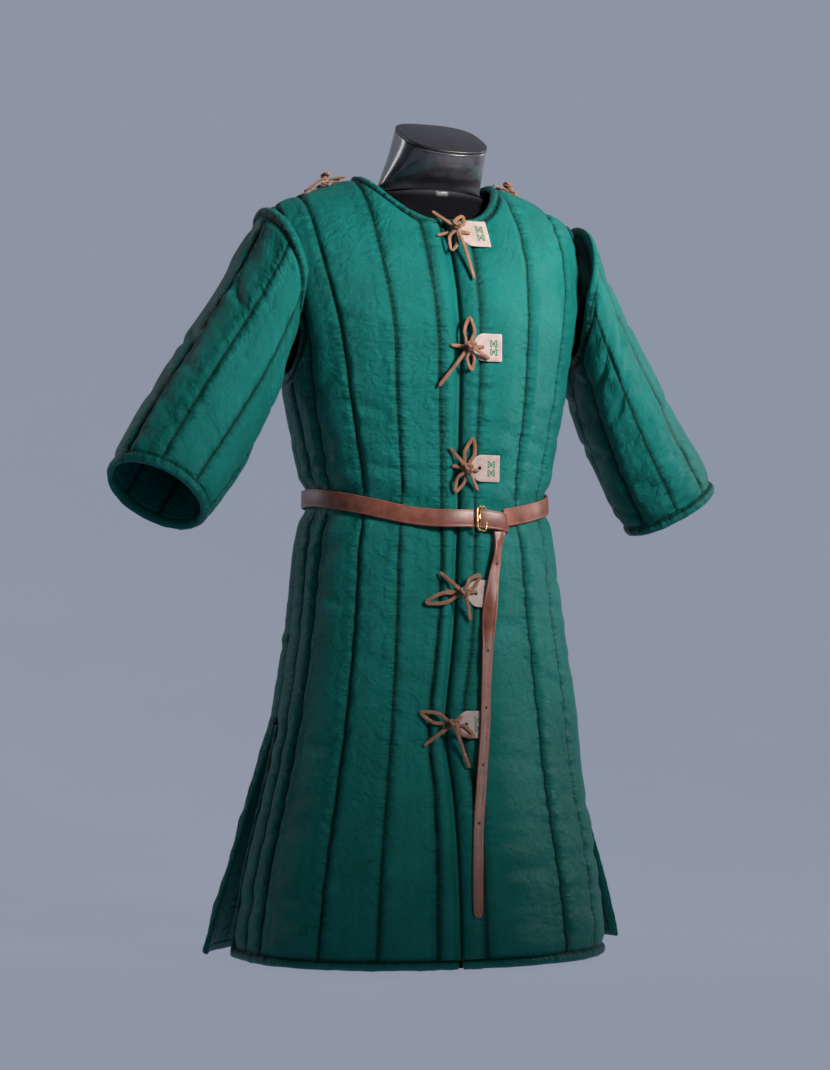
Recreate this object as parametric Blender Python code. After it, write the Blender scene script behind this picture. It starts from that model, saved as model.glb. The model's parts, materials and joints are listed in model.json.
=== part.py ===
"""Quilted gambeson standing on a limbless dress form, belt and ties fastened.

Metres, +Z up, front towards -Y, wearer's right towards -X, base underside at z 0.
"""
import math

import bmesh
import bpy
from mathutils import Matrix, Vector

MM = 0.001
SEAM = 0.30 * MM

# Cloth
HEM = -0.010
LIFT = 0.015
SLIT_TOP = 0.283
CHEST = 0.760
RISE = 0.200
ARM_ROW = 0.775
FULLNESS = 2.0 / 2.3
SHOULDER_BOW = 1.18
RIDGE_Y = 0.012
NECK_ANGLE = 24.0
NECK_FRONT = 0.908
NECK_BACK = 0.955
ARM_ANGLE = 68.0
SIDE_ANGLE = 97.0
BACK_HEM_ANGLE = 106.0
WALL_STITCH = 5.0 * MM
WALL_CREST = 9.0 * MM
SLEEVE_STITCH = 4.0 * MM
SLEEVE_CREST = 7.5 * MM
BIND_WIDTH = 11.0 * MM

# Belt
BELT_TALL = 22.0 * MM
BELT_THICK = 2.8 * MM
BELT_SIDE = 0.567
BELT_DIP = 0.030

# Thongs and tabs
THONG = 3.2 * MM
TAB_THICK = 2.2 * MM
STRAP_OUT = 6.9

# Dress form
FORM_BOTTOM = 0.345
SHOULDER_GAP = 1.3 * MM
BASE_RADIUS = 0.150
BASE_TALL = 0.008
POLE_RADIUS = 0.0125

SECTION = (
    # height, half width, front depth, back depth
    (-0.010, 0.242, 0.200, 0.192),
    (0.100, 0.226, 0.182, 0.178),
    (0.190, 0.206, 0.163, 0.166),
    (0.277, 0.189, 0.147, 0.156),
    (0.375, 0.174, 0.137, 0.147),
    (0.439, 0.166, 0.131, 0.139),
    (0.494, 0.161, 0.126, 0.131),
    (0.568, 0.150, 0.121, 0.121),
    (0.640, 0.163, 0.125, 0.121),
    (0.697, 0.176, 0.129, 0.122),
    (0.760, 0.186, 0.131, 0.122),
    (0.880, 0.210, 0.131, 0.122),
    (1.000, 0.212, 0.131, 0.122),
)
BACK_SKIRT = (
    # height, half width, sideways shift
    (-0.010, 0.298, 0.016),
    (0.060, 0.274, 0.014),
    (0.130, 0.249, 0.011),
    (0.200, 0.224, 0.007),
    (0.289, 0.187, 0.000),
)
SHOULDER_LINE = (
    # distance from the middle, height of the shoulder seam
    (0.000, 0.982),
    (0.085, 0.979),
    (0.100, 0.973),
    (0.142, 0.957),
    (0.182, 0.941),
    (0.215, 0.925),
)
FRONT_LINES = (
    # height, then the stitch lines' angles from the middle, in degrees
    (0.000, 29.0, 49.0, 76.0),
    (0.280, 28.0, 48.0, 75.0),
    (0.565, 27.0, 47.5, 73.0),
    (0.700, 26.0, 48.0, 70.0),
    (0.775, 25.0, 49.0, 68.0),
    (0.960, 24.0, 50.0, 68.0),
)
CLOSURE = (
    # height, how far the closing edge swings to the wearer's right, in degrees
    (0.000, 3.8), (0.125, 3.6), (0.205, 4.4), (0.260, 6.2), (0.300, 6.1), (0.360, 4.1),
    (0.420, 2.3), (0.485, 1.2), (0.550, 0.0),
)
BACK_LINES = (108.0, 126.0, 144.0, 162.0)
ARMHOLE_LOW = (
    # angle from the middle, height of the armhole's edge
    (68.0, 0.775),
    (76.0, 0.741),
    (84.0, 0.723),
    (97.0, 0.716),
    (104.0, 0.735),
    (112.0, 0.775),
)
LOW_ROWS = (0.000, 0.065, 0.135, 0.205, 0.277, 0.293, 0.355, 0.425, 0.490, 0.552, 0.582,
            0.640, 0.710, 0.775)
HIGH_ROWS = 5
SLEEVE_HEAD = (
    # clock angle from the top towards the front, side, front to back, height
    (0, 0.2190, 0.010, 0.923),
    (45, 0.213, -0.052, 0.899),
    (90, 0.204, -0.086, 0.842),
    (135, 0.206, -0.062, 0.776),
    (180, 0.216, -0.004, 0.750),
    (225, 0.215, 0.052, 0.775),
    (270, 0.209, 0.082, 0.842),
    (315, 0.213, 0.056, 0.899),
)
SLEEVES = {
    # side sign, cuff centre, cuff facing, tangent at the head, swell above and below
    "right": (-1, (-0.395, -0.120, 0.559), (-0.525, -0.327, -0.785), (-0.42, -0.12, -0.90), 0.002, 0.015),
    "left": (1, (0.361, 0.010, 0.560), (0.523, 0.060, -0.846), (0.30, -0.02, -0.95), 0.001, 0.004),
}
CUFF_RADIUS = 0.0595
SLEEVE_SPLITS = 8
SLEEVE_ROWS = 7
FORM_RINGS = (
    # height, gap to the cloth at the sides and back, and at the front, in millimetres
    (0.345, 13.0, 13.0), (0.400, 12.0, 12.0), (0.470, 11.0, 11.0), (0.530, 9.0, 10.0),
    (0.568, 8.0, 10.0), (0.620, 9.0, 11.0), (0.680, 9.0, 11.0), (0.730, 8.0, 11.0),
    (0.790, 7.0, 12.0), (0.840, 6.0, 12.0), (0.880, 5.0, 12.0), (0.910, 4.0, 11.0),
    (0.932, 4.0, 7.0), (0.948, 4.0, 6.0), (0.960, 3.5, 5.0),
)
NECK_DRAW = (
    # height, share of the front and back reach left as the shoulders turn into the neck
    (0.910, 1.00, 1.00), (0.932, 0.86, 0.86), (0.948, 0.52, 0.74), (0.960, 0.28, 0.46),
)
NECK_RINGS = (
    # height, half width, half depth, centre front to back, tilt in degrees
    (0.9618, 0.0740, 0.0420, -0.0100, 0.0),
    (0.9730, 0.0680, 0.0470, -0.0155, 6.0),
    (0.9860, 0.0640, 0.0535, -0.0270, 13.0),
    (1.0040, 0.0590, 0.0580, -0.0425, 20.0),
    (1.0250, 0.0555, 0.0600, -0.058, 27.0),
)
CAP_THICK = 0.0035
TAIL = (
    # height, side distance, half width, out from the cloth
    (0.521, 43.0, 8.0, 13.5), (0.505, 40.5, 6.5, 14.0), (0.485, 36.5, 6.5, 14.5), (0.460, 31.5, 7.5, 14.5),
    (0.435, 28.0, 8.0, 14.0), (0.405, 24.5, 7.5, 13.5), (0.365, 20.5, 7.0, 13.0), (0.320, 17.0, 6.5, 12.8),
    (0.270, 13.5, 6.5, 12.8), (0.210, 7.0, 6.8, 11.0), (0.150, -1.0, 6.8, 10.5), (0.090, -6.0, 6.8, 10.5),
    (0.050, -8.0, 6.0, 10.5),
)

CLOTH = ("quilted_green_cotton", (0.022, 0.150, 0.110, 1.0), 0.62, 0.0)
BINDING = ("green_cotton_binding", (0.026, 0.165, 0.120, 1.0), 0.60, 0.0)
LEATHER = ("brown_belt_leather", (0.170, 0.052, 0.032, 1.0), 0.42, 0.0)
SUEDE = ("pale_suede", (0.420, 0.300, 0.240, 1.0), 0.85, 0.0)
BRASS = ("brass", (0.620, 0.440, 0.200, 1.0), 0.32, 1.0)
GLOSS = ("form_charcoal", (0.018, 0.019, 0.024, 1.0), 0.22, 0.0)
DARK = ("form_cap_satin", (0.012, 0.010, 0.012, 1.0), 0.45, 0.0)

MATERIALS = {}


def material(spec):
    """Make a plain material once for each finish."""
    name, colour, rough, metal = spec
    if name not in MATERIALS:
        made = bpy.data.materials.new(name)
        made.use_nodes = True
        made.diffuse_color = colour
        shader = made.node_tree.nodes["Principled BSDF"]
        shader.inputs["Base Color"].default_value = colour
        shader.inputs["Roughness"].default_value = rough
        shader.inputs["Metallic"].default_value = metal
        MATERIALS[name] = made
    return MATERIALS[name]


def add_mesh(name, verts, faces, spec, crease=50.0):
    """Add one closed solid with its faces turned outwards."""
    mesh = bpy.data.meshes.new(name)
    mesh.from_pydata([tuple(v) for v in verts], [], faces)
    work = bmesh.new()
    work.from_mesh(mesh)
    bmesh.ops.recalc_face_normals(work, faces=work.faces)
    work.to_mesh(mesh)
    work.free()
    mesh.materials.append(material(spec))
    mesh.shade_smooth()
    mesh.set_sharp_from_angle(angle=math.radians(crease))
    obj = bpy.data.objects.new(name, mesh)
    bpy.context.scene.collection.objects.link(obj)
    return obj


def read(table, at, column):
    """Read one column of a table at a place in its first column, smoothly."""
    if at <= table[0][0]:
        return table[0][column]
    if at >= table[-1][0]:
        return table[-1][column]
    k = 0
    while table[k + 1][0] < at:
        k += 1

    def slope(m):
        lo, hi = max(m - 1, 0), min(m + 1, len(table) - 1)
        return (table[hi][column] - table[lo][column]) / (table[hi][0] - table[lo][0])

    span = table[k + 1][0] - table[k][0]
    t = (at - table[k][0]) / span
    first, last = table[k][column], table[k + 1][column]
    return (first * (1 + 2 * t) * (1 - t) ** 2 + last * t * t * (3 - 2 * t)
            + span * t * (1 - t) * (slope(k) * (1 - t) - slope(k + 1) * t))


def power(value, exponent):
    """Signed power, for rounded-box sections."""
    return math.copysign(abs(value) ** exponent, value)


def plan(angle, height, back):
    """Plan position of the cloth's inside at an angle from the middle front."""
    turn = math.radians(angle)
    half, shift = read(SECTION, height, 1), 0.0
    if height < BACK_SKIRT[-1][0]:
        if back:
            half, shift = read(BACK_SKIRT, height, 1), read(BACK_SKIRT, height, 2)
        else:
            shift = -0.35 * read(BACK_SKIRT, height, 2)
            half -= read(BACK_SKIRT, height, 2) if angle > 0 else 0.0
    depth = read(SECTION, height, 2 if math.cos(turn) > 0 else 3)
    return shift + half * power(math.sin(turn), FULLNESS), -depth * power(math.cos(turn), FULLNESS)


def crest(angle):
    """Height of the shoulder seam above one column of the cloth."""
    across = read(SECTION, 0.95, 1) * abs(power(math.sin(math.radians(angle)), FULLNESS))
    return read(SHOULDER_LINE, across, 1)


def inside(angle, level, back=False):
    """Point on the cloth's inside; levels above the chest run up to the shoulder seam."""
    if level <= CHEST:
        x, y = plan(angle, level, back)
        return Vector((x, y, level))
    turn = min((level - CHEST) / RISE, 1.0) * math.pi / 2
    height = CHEST + (crest(angle) - CHEST) * math.sin(turn) ** SHOULDER_BOW
    x = plan(angle, height, back)[0]
    reach = plan(angle, CHEST, back)[1]
    ridge = RIDGE_Y + (SEAM / 2 if back else -SEAM / 2)
    y = ridge + (reach - ridge) * max(math.cos(turn), 0.0) ** SHOULDER_BOW
    return Vector((x, y, height))


def outward(angle, level, back=False):
    """Unit direction out of the cloth."""
    level = min(max(level, 0.002), CHEST + RISE * 0.93)
    across = inside(angle + 0.4, level, back) - inside(angle - 0.4, level, back)
    up = inside(angle, level + 0.002, back) - inside(angle, level - 0.002, back)
    return across.cross(up).normalized()


def belt_height(angle):
    """Height of the belt's middle; it dips at the front."""
    return BELT_SIDE - BELT_DIP * max(math.cos(math.radians(angle)), 0.0) ** 2


def neck_end(angle, back):
    """Level at which a column meets the neckline, or the shoulder seam."""
    aside = abs(180.0 - abs(angle)) if back else abs(angle)
    if aside >= NECK_ANGLE:
        return CHEST + RISE
    low = NECK_BACK if back else NECK_FRONT
    height = low + (crest(NECK_ANGLE) - low) * (aside / NECK_ANGLE) ** 2.4
    part = min((height - CHEST) / (crest(angle) - CHEST), 1.0)
    return CHEST + RISE * math.asin(part ** (1 / SHOULDER_BOW)) / (math.pi / 2)


def closure_swing(level):
    """Degrees by which the closing edge swings aside at a level."""
    return read(CLOSURE, level, 1)


def closure_x(height):
    """Side distance of the closing edge at a height."""
    swing = math.radians(closure_swing(height))
    return -read(SECTION, height, 1) * power(math.sin(swing), FULLNESS)


def slit_edge(level, back):
    """Angle of a panel's edge at the side: seam above, slit below."""
    if level > SLIT_TOP:
        gap = math.degrees(SEAM / 2 / 0.16)
        return SIDE_ANGLE + gap if back else SIDE_ANGLE - gap
    away = (SLIT_TOP - level) / SLIT_TOP
    if back:
        return SIDE_ANGLE + 3.4 + (BACK_HEM_ANGLE - SIDE_ANGLE - 0.8) * away
    return SIDE_ANGLE - 3.4 + 0.8 * away


def row_level(angle, row, back):
    """Level of one grid row on one column."""
    arm = len(LOW_ROWS) - 1
    if row > arm:
        top = neck_end(angle, back)
        return ARM_ROW + (top - ARM_ROW) * (row - arm) / HIGH_ROWS
    if row == 0:
        return HEM + BIND_WIDTH
    level = LOW_ROWS[row]
    if ARM_ANGLE < abs(angle) < 180.0 - ARM_ANGLE and level > 0.60:
        low = read(ARMHOLE_LOW, abs(angle), 1)
        level = 0.60 + (level - 0.60) * (low - 0.60) / (ARM_ROW - 0.60)
    near = math.exp(-((level - BELT_SIDE) / 0.05) ** 2)
    return level + (belt_height(angle) - BELT_SIDE) * near


def wall_depth(lift, level, angle, row, last):
    """Thickness of the quilted wall: thin at stitches, edges and under the belt."""
    off = (level - belt_height(angle)) / 0.024
    swell = lift * (1.0 - math.exp(-0.7 * off ** 4))
    if row in (0, last):
        swell *= 0.15
    return WALL_STITCH + (WALL_CREST - WALL_STITCH) * swell


def close_wall(name, outer, inner, cells, spec, wrap=0):
    """Join two grids of points over the given cells into one closed wall."""
    verts, index = [], {}

    def corner(side, i, j):
        key = (side, i % wrap if wrap else i, j)
        if key not in index:
            index[key] = len(verts)
            verts.append((outer if side else inner)[key[1:]])
        return index[key]

    faces, rim = [], {}
    for i, j in cells:
        loop = [(i, j), (i + 1, j), (i + 1, j + 1), (i, j + 1)]
        faces.append([corner(1, *p) for p in loop])
        faces.append([corner(0, *p) for p in reversed(loop)])
        for a, b in zip(loop, loop[1:] + loop[:1]):
            a = (a[0] % wrap, a[1]) if wrap else a
            b = (b[0] % wrap, b[1]) if wrap else b
            if (b, a) in rim:
                del rim[(b, a)]
            else:
                rim[(a, b)] = True
    for a, b in rim:
        faces.append([corner(1, *b), corner(1, *a), corner(0, *a), corner(0, *b)])
    return add_mesh(name, verts, faces, spec)


def front_columns(side):
    """Columns of one front's closing edge: angle from the closing line, lift, sink, fixed depth."""
    if side < 0:
        return [(11.0, 0.0, 5.5, 4.0), (6.0, 0.0, 5.5, 4.0), (-1.25, 0.0, 4.8, 4.0),
                (-2.5, 0.0, 2.5, 5.4), (-3.8, 0.6, 0.8, None), (-5.8, 0.9, 0.0, None)]
    return [(-0.65, 0.0, 0.0, 4.4), (0.9, 0.5, 0.0, None), (2.6, 0.6, 0.0, None)]


def front_angle(side, station, level):
    """Angle of a station between stitch lines; whole numbers are stitch lines."""
    swing = closure_swing(level)
    first = max(8.5, swing + 7.4) if side < 0 else 4.5 - swing
    edge = slit_edge(level, False)
    stops = [first] + [read(FRONT_LINES, level, k) for k in (1, 2, 3)]
    stops += [min(edge - 9.0, 86.0), edge]
    k = min(int(station), len(stops) - 2)
    return stops[k] + (stops[k + 1] - stops[k]) * (station - k)


def front_panel(name, side):
    """One front panel with its channels, neckline, armhole and slit edge."""
    lap = front_columns(side)
    stations = [(0.0, 0.0), (0.25, 0.75), (0.5, 1.0), (0.75, 0.75), (1.0, 0.0), (1.33, 0.9), (1.67, 0.9),
                (2.0, 0.0), (2.33, 0.9), (2.67, 0.9), (3.0, 0.0), (3.5, 0.9), (4.0, 0.0), (4.5, 0.6),
                (5.0, 0.0)]
    arm, last = len(LOW_ROWS) - 1, len(LOW_ROWS) - 1 + HIGH_ROWS
    arm_column = len(lap) + 10
    outer, inner, cells, rim = {}, {}, [], {}
    total = len(lap) + len(stations)
    for i in range(total):
        for j in range(last + 1):
            if i > arm_column and j > arm:
                continue
            sink, fixed = 0.0, None
            if i < len(lap):
                aside, lift, sink, fixed = lap[i]
                level = row_level(aside, j, False)
                angle = aside - closure_swing(level)
            else:
                station, lift = stations[i - len(lap)]
                level = row_level(60.0, j, False)
                for _ in range(3):
                    angle = side * front_angle(side, station, level)
                    level = row_level(angle, j, False)
            depth = wall_depth(lift, level, angle, j, last if i <= arm_column else arm)
            if fixed is not None:
                depth = fixed * MM
            normal = outward(angle, level)
            foot = inside(angle, level) - normal * sink * MM
            inner[i, j] = foot
            outer[i, j] = foot + normal * depth
            rim[i, j] = (angle, level)
            if i + 1 < total and j < last and not (j >= arm and i >= arm_column):
                cells.append((i, j))
    close_wall(name, outer, inner, cells, CLOTH)
    return rim, len(lap), total - 1, arm_column


def back_panel():
    """The back in one piece, from side seam to side seam."""
    stations = []
    stops = (SIDE_ANGLE,) + BACK_LINES + (180.0,)
    for k in range(5):
        stations += [(k + a, b) for a, b in ((0.0, 0.0), (0.33, 0.9), (0.67, 0.9))]
    stations.append((5.0, 1.0))
    for m, (a, _) in enumerate(stations):
        if 4.0 < a < 5.0:
            stations[m] = (a, 0.75 if a < 4.5 else 0.95)
    half = len(stations)
    arm, last = len(LOW_ROWS) - 1, len(LOW_ROWS) - 1 + HIGH_ROWS
    outer, inner, cells, rim = {}, {}, [], {}
    arm_station = 1.0
    total = 2 * half - 1

    def angle_at(station, level):
        k = min(int(station), 4)
        edge = slit_edge(level, True)
        a = edge if k == 0 else stops[k]
        if k == 0:
            b = max(stops[1], edge + 5.0) if level < ARM_ROW - 0.06 else stops[1]
            b = b + (180.0 - ARM_ANGLE - b) * min(max((level - 0.55) / 0.2, 0.0), 1.0)
        else:
            b = stops[k + 1]
        if k == 1:
            a = max(stops[1], edge + 5.0) if level < ARM_ROW - 0.06 else stops[1]
            a = a + (180.0 - ARM_ANGLE - a) * min(max((level - 0.55) / 0.2, 0.0), 1.0)
        if k == 3:
            b = 162.0 + (180.0 - NECK_ANGLE - 162.0) * min(max((level - 0.6) / 0.3, 0.0), 1.0)
        if k == 4:
            a = 162.0 + (180.0 - NECK_ANGLE - 162.0) * min(max((level - 0.6) / 0.3, 0.0), 1.0)
        return a + (b - a) * (station - k)

    for i in range(total):
        m, sign = (i, -1) if i < half else (total - 1 - i, 1)
        station, lift = stations[m]
        in_arm = station < arm_station
        for j in range(last + 1):
            if in_arm and j > arm:
                continue
            level = row_level(120.0, j, True)
            for _ in range(3):
                angle = sign * angle_at(station, level)
                level = row_level(angle, j, True)
            depth = wall_depth(lift, level, angle, j, arm if in_arm else last)
            normal = outward(angle, level, True)
            inner[i, j] = inside(angle, level, True)
            outer[i, j] = inner[i, j] + normal * depth
            rim[i, j] = (angle, level)
    for i in range(total - 1):
        for j in range(last):
            if all((a, b) in outer for a in (i, i + 1) for b in (j, j + 1)):
                cells.append((i, j))
    # The angle runs down from -97 to -180 and on from 180 to 97, so columns go round the back.
    close_wall("back", outer, inner, cells, CLOTH)
    return rim, total


def sweep(name, path, normals, section, closed, spec, flip=1):
    """Sweep a section along an edge: first number away from the cloth, second out of it."""
    count = len(path)
    verts, faces = [], []
    size = len(section)
    for k in range(count):
        back = path[k] - path[k - 1] if closed or k > 0 else None
        ahead = path[(k + 1) % count] - path[k] if closed or k < count - 1 else None
        normal = normals[k]
        sides = []
        for step in (back, ahead):
            if step is not None:
                sides.append((normal.cross(step)).normalized() * flip)
        if len(sides) == 2:
            away = (sides[0] + sides[1]) / (1.0 + max(sides[0].dot(sides[1]), -0.3))
        else:
            away = sides[0]
        verts += [path[k] + away * s * MM + normal * h * MM for s, h in section]
    rings = count if closed else count - 1
    for k in range(rings):
        a, b = k * size, ((k + 1) % count) * size
        for m in range(size):
            n = (m + 1) % size
            faces.append([a + m, a + n, b + n, b + m])
    if not closed:
        faces.append(list(range(size)))
        faces.append([(count - 1) * size + m for m in range(size)])
    return add_mesh(name, verts, faces, spec)


INNER_SECTION = ((0.6, 0.0), (0.6, 5.2), (3.0, 6.9), (7.8, 6.7), (11.0, 2.8), (8.5, -0.7))
BIND_SECTION = ((0.3, 0.0), (0.3, 5.2), (3.0, 6.9), (7.8, 6.7), (11.0, 2.8), (8.5, -0.7))
CUFF_SECTION = ((0.3, -0.2), (0.3, 5.0), (4.0, 6.9), (10.0, 6.5), (13.2, 2.6), (11.0, -0.8))
HEAD_SECTION = ((0.8, -0.2), (0.8, 5.0), (4.0, 6.8), (9.0, 6.4), (12.2, 2.6), (10.0, -0.8))


def edge_points(rim, keys, back=False):
    """Inside points and directions along a run of a panel's edge."""
    path = [inside(*rim[k], back) for k in keys]
    normals = [outward(*rim[k], back) for k in keys]
    return path, normals


def sleeve_point(side, around, along):
    """Point on a sleeve's inside: clock angle from the top to the front, 0 head to 1 cuff."""
    sign, centre, facing, lead, above, below = SLEEVES[side]
    clock = around % 360.0
    ring = SLEEVE_HEAD + ((360,) + SLEEVE_HEAD[0][1:],)
    padded = ((-45,) + SLEEVE_HEAD[-1][1:],) + ring + ((405,) + SLEEVE_HEAD[1][1:],)
    head = Vector((sign * read(padded, clock, 1), read(padded, clock, 2), read(padded, clock, 3)))
    down = Vector(facing).normalized()
    front = Vector((0.0, -1.0, 0.0))
    front = (front - down * front.dot(down)).normalized()
    upper = front.cross(down).normalized()
    if upper.z < 0:
        upper = -upper
    turn = math.radians(clock)
    cuff = Vector(centre) + (upper * math.cos(turn) + front * math.sin(turn)) * CUFF_RADIUS
    cuff -= down * 0.013
    length = (cuff - head).length
    t = along
    out = (head * (1 + 2 * t) * (1 - t) ** 2 + cuff * t * t * (3 - 2 * t)
           + Vector(lead).normalized() * length * 0.8 * t * (1 - t) ** 2
           - down * length * 0.9 * t * t * (1 - t))
    swell = above + (below - above) * (1 - math.cos(turn)) / 2
    spoke = (upper * math.cos(turn) + front * math.sin(turn)) * swell
    return out + spoke * math.sin(math.pi * t)


def sleeve_normal(side, around, along):
    """Unit direction out of a sleeve."""
    low, high = max(along - 0.01, 0.0), min(along + 0.01, 1.0)
    run = sleeve_point(side, around, high) - sleeve_point(side, around, low)
    turn = sleeve_point(side, around + 2, along) - sleeve_point(side, around - 2, along)
    normal = turn.cross(run).normalized()
    middle = sum((sleeve_point(side, a, along) for a in range(0, 360, 45)), Vector()) / 8
    return normal if normal.dot(sleeve_point(side, around, along) - middle) > 0 else -normal


def sleeve(side):
    """One elbow-length sleeve with its channels and both bound ends."""
    outer, inner, cells = {}, {}, []
    per = 3
    count = SLEEVE_SPLITS * per
    for i in range(count):
        lift = 0.0 if i % per == 0 else 1.0
        around = 18.0 + i * 360.0 / count
        for j in range(SLEEVE_ROWS + 1):
            along = j / SLEEVE_ROWS
            normal = sleeve_normal(side, around, along)
            swell = lift * (0.15 if j in (0, SLEEVE_ROWS) else 1.0)
            depth = SLEEVE_STITCH + (SLEEVE_CREST - SLEEVE_STITCH) * swell
            inner[i, j] = sleeve_point(side, around, along)
            outer[i, j] = inner[i, j] + normal * depth
            if j < SLEEVE_ROWS:
                cells.append((i, j))
    close_wall("sleeve_" + side, outer, inner, cells, CLOTH, wrap=count)
    for end, label, section in ((0.0, "sleeve_head_binding_", HEAD_SECTION),
                                (1.0, "cuff_binding_", CUFF_SECTION)):
        angles = [18.0 + i * 360.0 / count for i in range(count)]
        path = [sleeve_point(side, a, end) for a in angles]
        normals = [sleeve_normal(side, a, end) for a in angles]
        # Away from the sleeve: back along it at the head, on along it at the cuff.
        step = path[1] - path[0]
        run = sleeve_point(side, angles[0], min(end + 0.02, 1.0)) - sleeve_point(
            side, angles[0], max(end - 0.02, 0.0))
        away = normals[0].cross(step)
        want = run if end > 0.5 else -run
        sweep(label + side, path, normals, section, True, BINDING, 1 if away.dot(want) > 0 else -1)


def front_place(x, z, out):
    """Point in front of the closure at a side distance and height, moved out."""
    share = min(abs(x) / read(SECTION, z, 1), 1.0)
    angle = math.degrees(math.asin(share ** (1.0 / FULLNESS)))
    angle = math.copysign(angle, x)
    level = z
    if z > CHEST:
        part = (z - CHEST) / (crest(angle) - CHEST)
        level = CHEST + RISE * math.asin(min(part, 1.0) ** (1 / SHOULDER_BOW)) / (math.pi / 2)
    return inside(angle, level) + outward(angle, level) * out * MM


def tab_out(side):
    """Distance out from the cloth's inside to a tab's underside, in millimetres."""
    return 8.6 + 0.09 * max(side - 34.0, 0.0)


def smooth_run(points, step):
    """Points along a smooth curve through the given ones."""
    route = [Vector(p) for p in points]
    fine = []
    for k in range(len(route) - 1):
        a, b = route[max(k - 1, 0)], route[k]
        c, d = route[k + 1], route[min(k + 2, len(route) - 1)]
        for m in range(12):
            t = m / 12
            fine.append(0.5 * (2 * b + (c - a) * t + (2 * a - 5 * b + 4 * c - d) * t * t
                               + (3 * b - a - 3 * c + d) * t ** 3))
    fine.append(route[-1])
    length = sum((b - a).length for a, b in zip(fine, fine[1:]))
    count = max(int(round(length / step)), 3)
    out, travelled, target = [fine[0]], 0.0, length / count
    for a, b in zip(fine, fine[1:]):
        travelled += (b - a).length
        if travelled >= target * len(out) - 1e-7 and len(out) < count:
            out.append(b)
    out.append(fine[-1])
    return out


def thong(name, points):
    """A suede thong as a round cord."""
    data = bpy.data.curves.new(name, "CURVE")
    data.dimensions = "3D"
    data.bevel_depth = THONG / 2
    data.bevel_resolution = 2
    data.use_fill_caps = True
    line = data.splines.new("POLY")
    line.points.add(len(points) - 1)
    for spot, p in zip(line.points, points):
        spot.co = (p.x, p.y, p.z, 1.0)
    data.materials.append(material(SUEDE))
    bpy.context.scene.collection.objects.link(bpy.data.objects.new(name, data))


def lozenge(name, centre, right, up, out, size):
    """A small tight knot."""
    verts, faces, rings, around = [], [], 3, 8
    verts.append(centre + out * size[2])
    for r in range(rings):
        tilt = math.pi * (r + 1) / (rings + 1)
        for a in range(around):
            turn = 2 * math.pi * a / around
            verts.append(centre + right * size[0] * math.sin(tilt) * math.cos(turn)
                         + up * size[1] * math.sin(tilt) * math.sin(turn) + out * size[2] * math.cos(tilt))
    verts.append(centre - out * size[2])
    for a in range(around):
        b = (a + 1) % around
        faces.append([0, 1 + a, 1 + b])
        for r in range(rings - 1):
            faces.append([1 + r * around + a, 1 + (r + 1) * around + a,
                          1 + (r + 1) * around + b, 1 + r * around + b])
        faces.append([1 + (rings - 1) * around + a, len(verts) - 1, 1 + (rings - 1) * around + b])
    add_mesh(name, verts, faces, SUEDE)


TIES = (
    # height, stub, loop tip, tail end, then the same for the tab's thong, all in millimetres
    ("1", 0.896, (-24, -6), (16, 20), (-22, 26), (20, -2), (-10, -26), (14, -62)),
    ("2", 0.752, (-22, 1), (3, 34), (-36, -50), (19, 0), (5, -28), (28, -14)),
    ("3", 0.602, (-17, 2), (9, 36), (-20, 24), (18, -3), (-12, -30), (16, -28)),
    ("4", 0.444, (-20, 3), (-44, -12), (-26, 26), (20, 2), (24, 22), (10, -34)),
    ("5", 0.282, (-16, 2), (-36, 15), (-34, -26), (14, 10), (28, -15), (20, -54)),
)


def thong_routes(stub_a, loop_a, tail_a, stub_b, loop_b, tail_b, low, tab_low, mid, high):
    """Two knotted thongs as routes of side, height and out distances."""
    def part(p, share, aside=0.0):
        size = math.hypot(*p)
        return p[0] * share - p[1] / size * aside, p[1] * share + p[0] / size * aside

    routes, pairs = [], ((stub_a, loop_a, tail_a, low, high), (stub_b, loop_b, tail_b, tab_low, high + 3.6))
    for stub, loop, tail, start, high in pairs:
        size = math.hypot(*loop)
        # The leg out runs on the stub's side of the loop, and comes back on the other.
        cross = loop[0] * stub[1] - loop[1] * stub[0]
        lean = 1.0 if cross > 0 else -1.0
        width = min(6.0, size * 0.22)
        near = (stub[0] / math.hypot(*stub) * 3.4, stub[1] / math.hypot(*stub) * 3.4)
        go = part(loop, 0.55, lean * width)
        back = part(loop, 0.55, -lean * width)
        centre = (near[0] * 0.2, near[1] * 0.2)
        routes.append([
            (stub[0], stub[1], start), (stub[0] * 0.55, stub[1] * 0.55, (start + mid) / 2),
            (near[0], near[1], mid), (go[0] * 0.5 + near[0] * 0.3, go[1] * 0.5 + near[1] * 0.3, mid),
            (go[0], go[1], mid - 0.6), (loop[0], loop[1], mid), (back[0], back[1], (mid + high) / 2 + 0.6),
            (back[0] * 0.45, back[1] * 0.45, high), (centre[0], centre[1], high),
            (tail[0] * 0.32, tail[1] * 0.32, high - 0.2),
            (tail[0] * 0.65, tail[1] * 0.65, (high + start) / 2), (tail[0], tail[1], start + 0.9),
        ])
    return routes


def tie(label, height, shapes):
    """A tab and a knotted pair of thongs on the closure."""
    middle = closure_x(height) / MM - 1.0
    low, tab_low, mid, high = 10.5, 13.7, 13.2, 16.8
    routes = thong_routes(*shapes, low, tab_low, mid, high)
    for letter, route in zip("ab", routes):
        points = [front_place((middle + x) * MM, height + z * MM, out) for x, z, out in route]
        thong("thong_" + label + letter, smooth_run(points, THONG * 2.6))
    knot = front_place(middle * MM, height, high + 3.6 + THONG / 2 / MM + 0.4 + 3.0)
    out = outward(0.0, min(height, CHEST + 0.15))
    right = Vector((1.0, 0.0, 0.0))
    up = out.cross(right).normalized()
    lozenge("knot_" + label, knot, right, up, out, (6.5 * MM, 5.0 * MM, 3.0 * MM))


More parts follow.
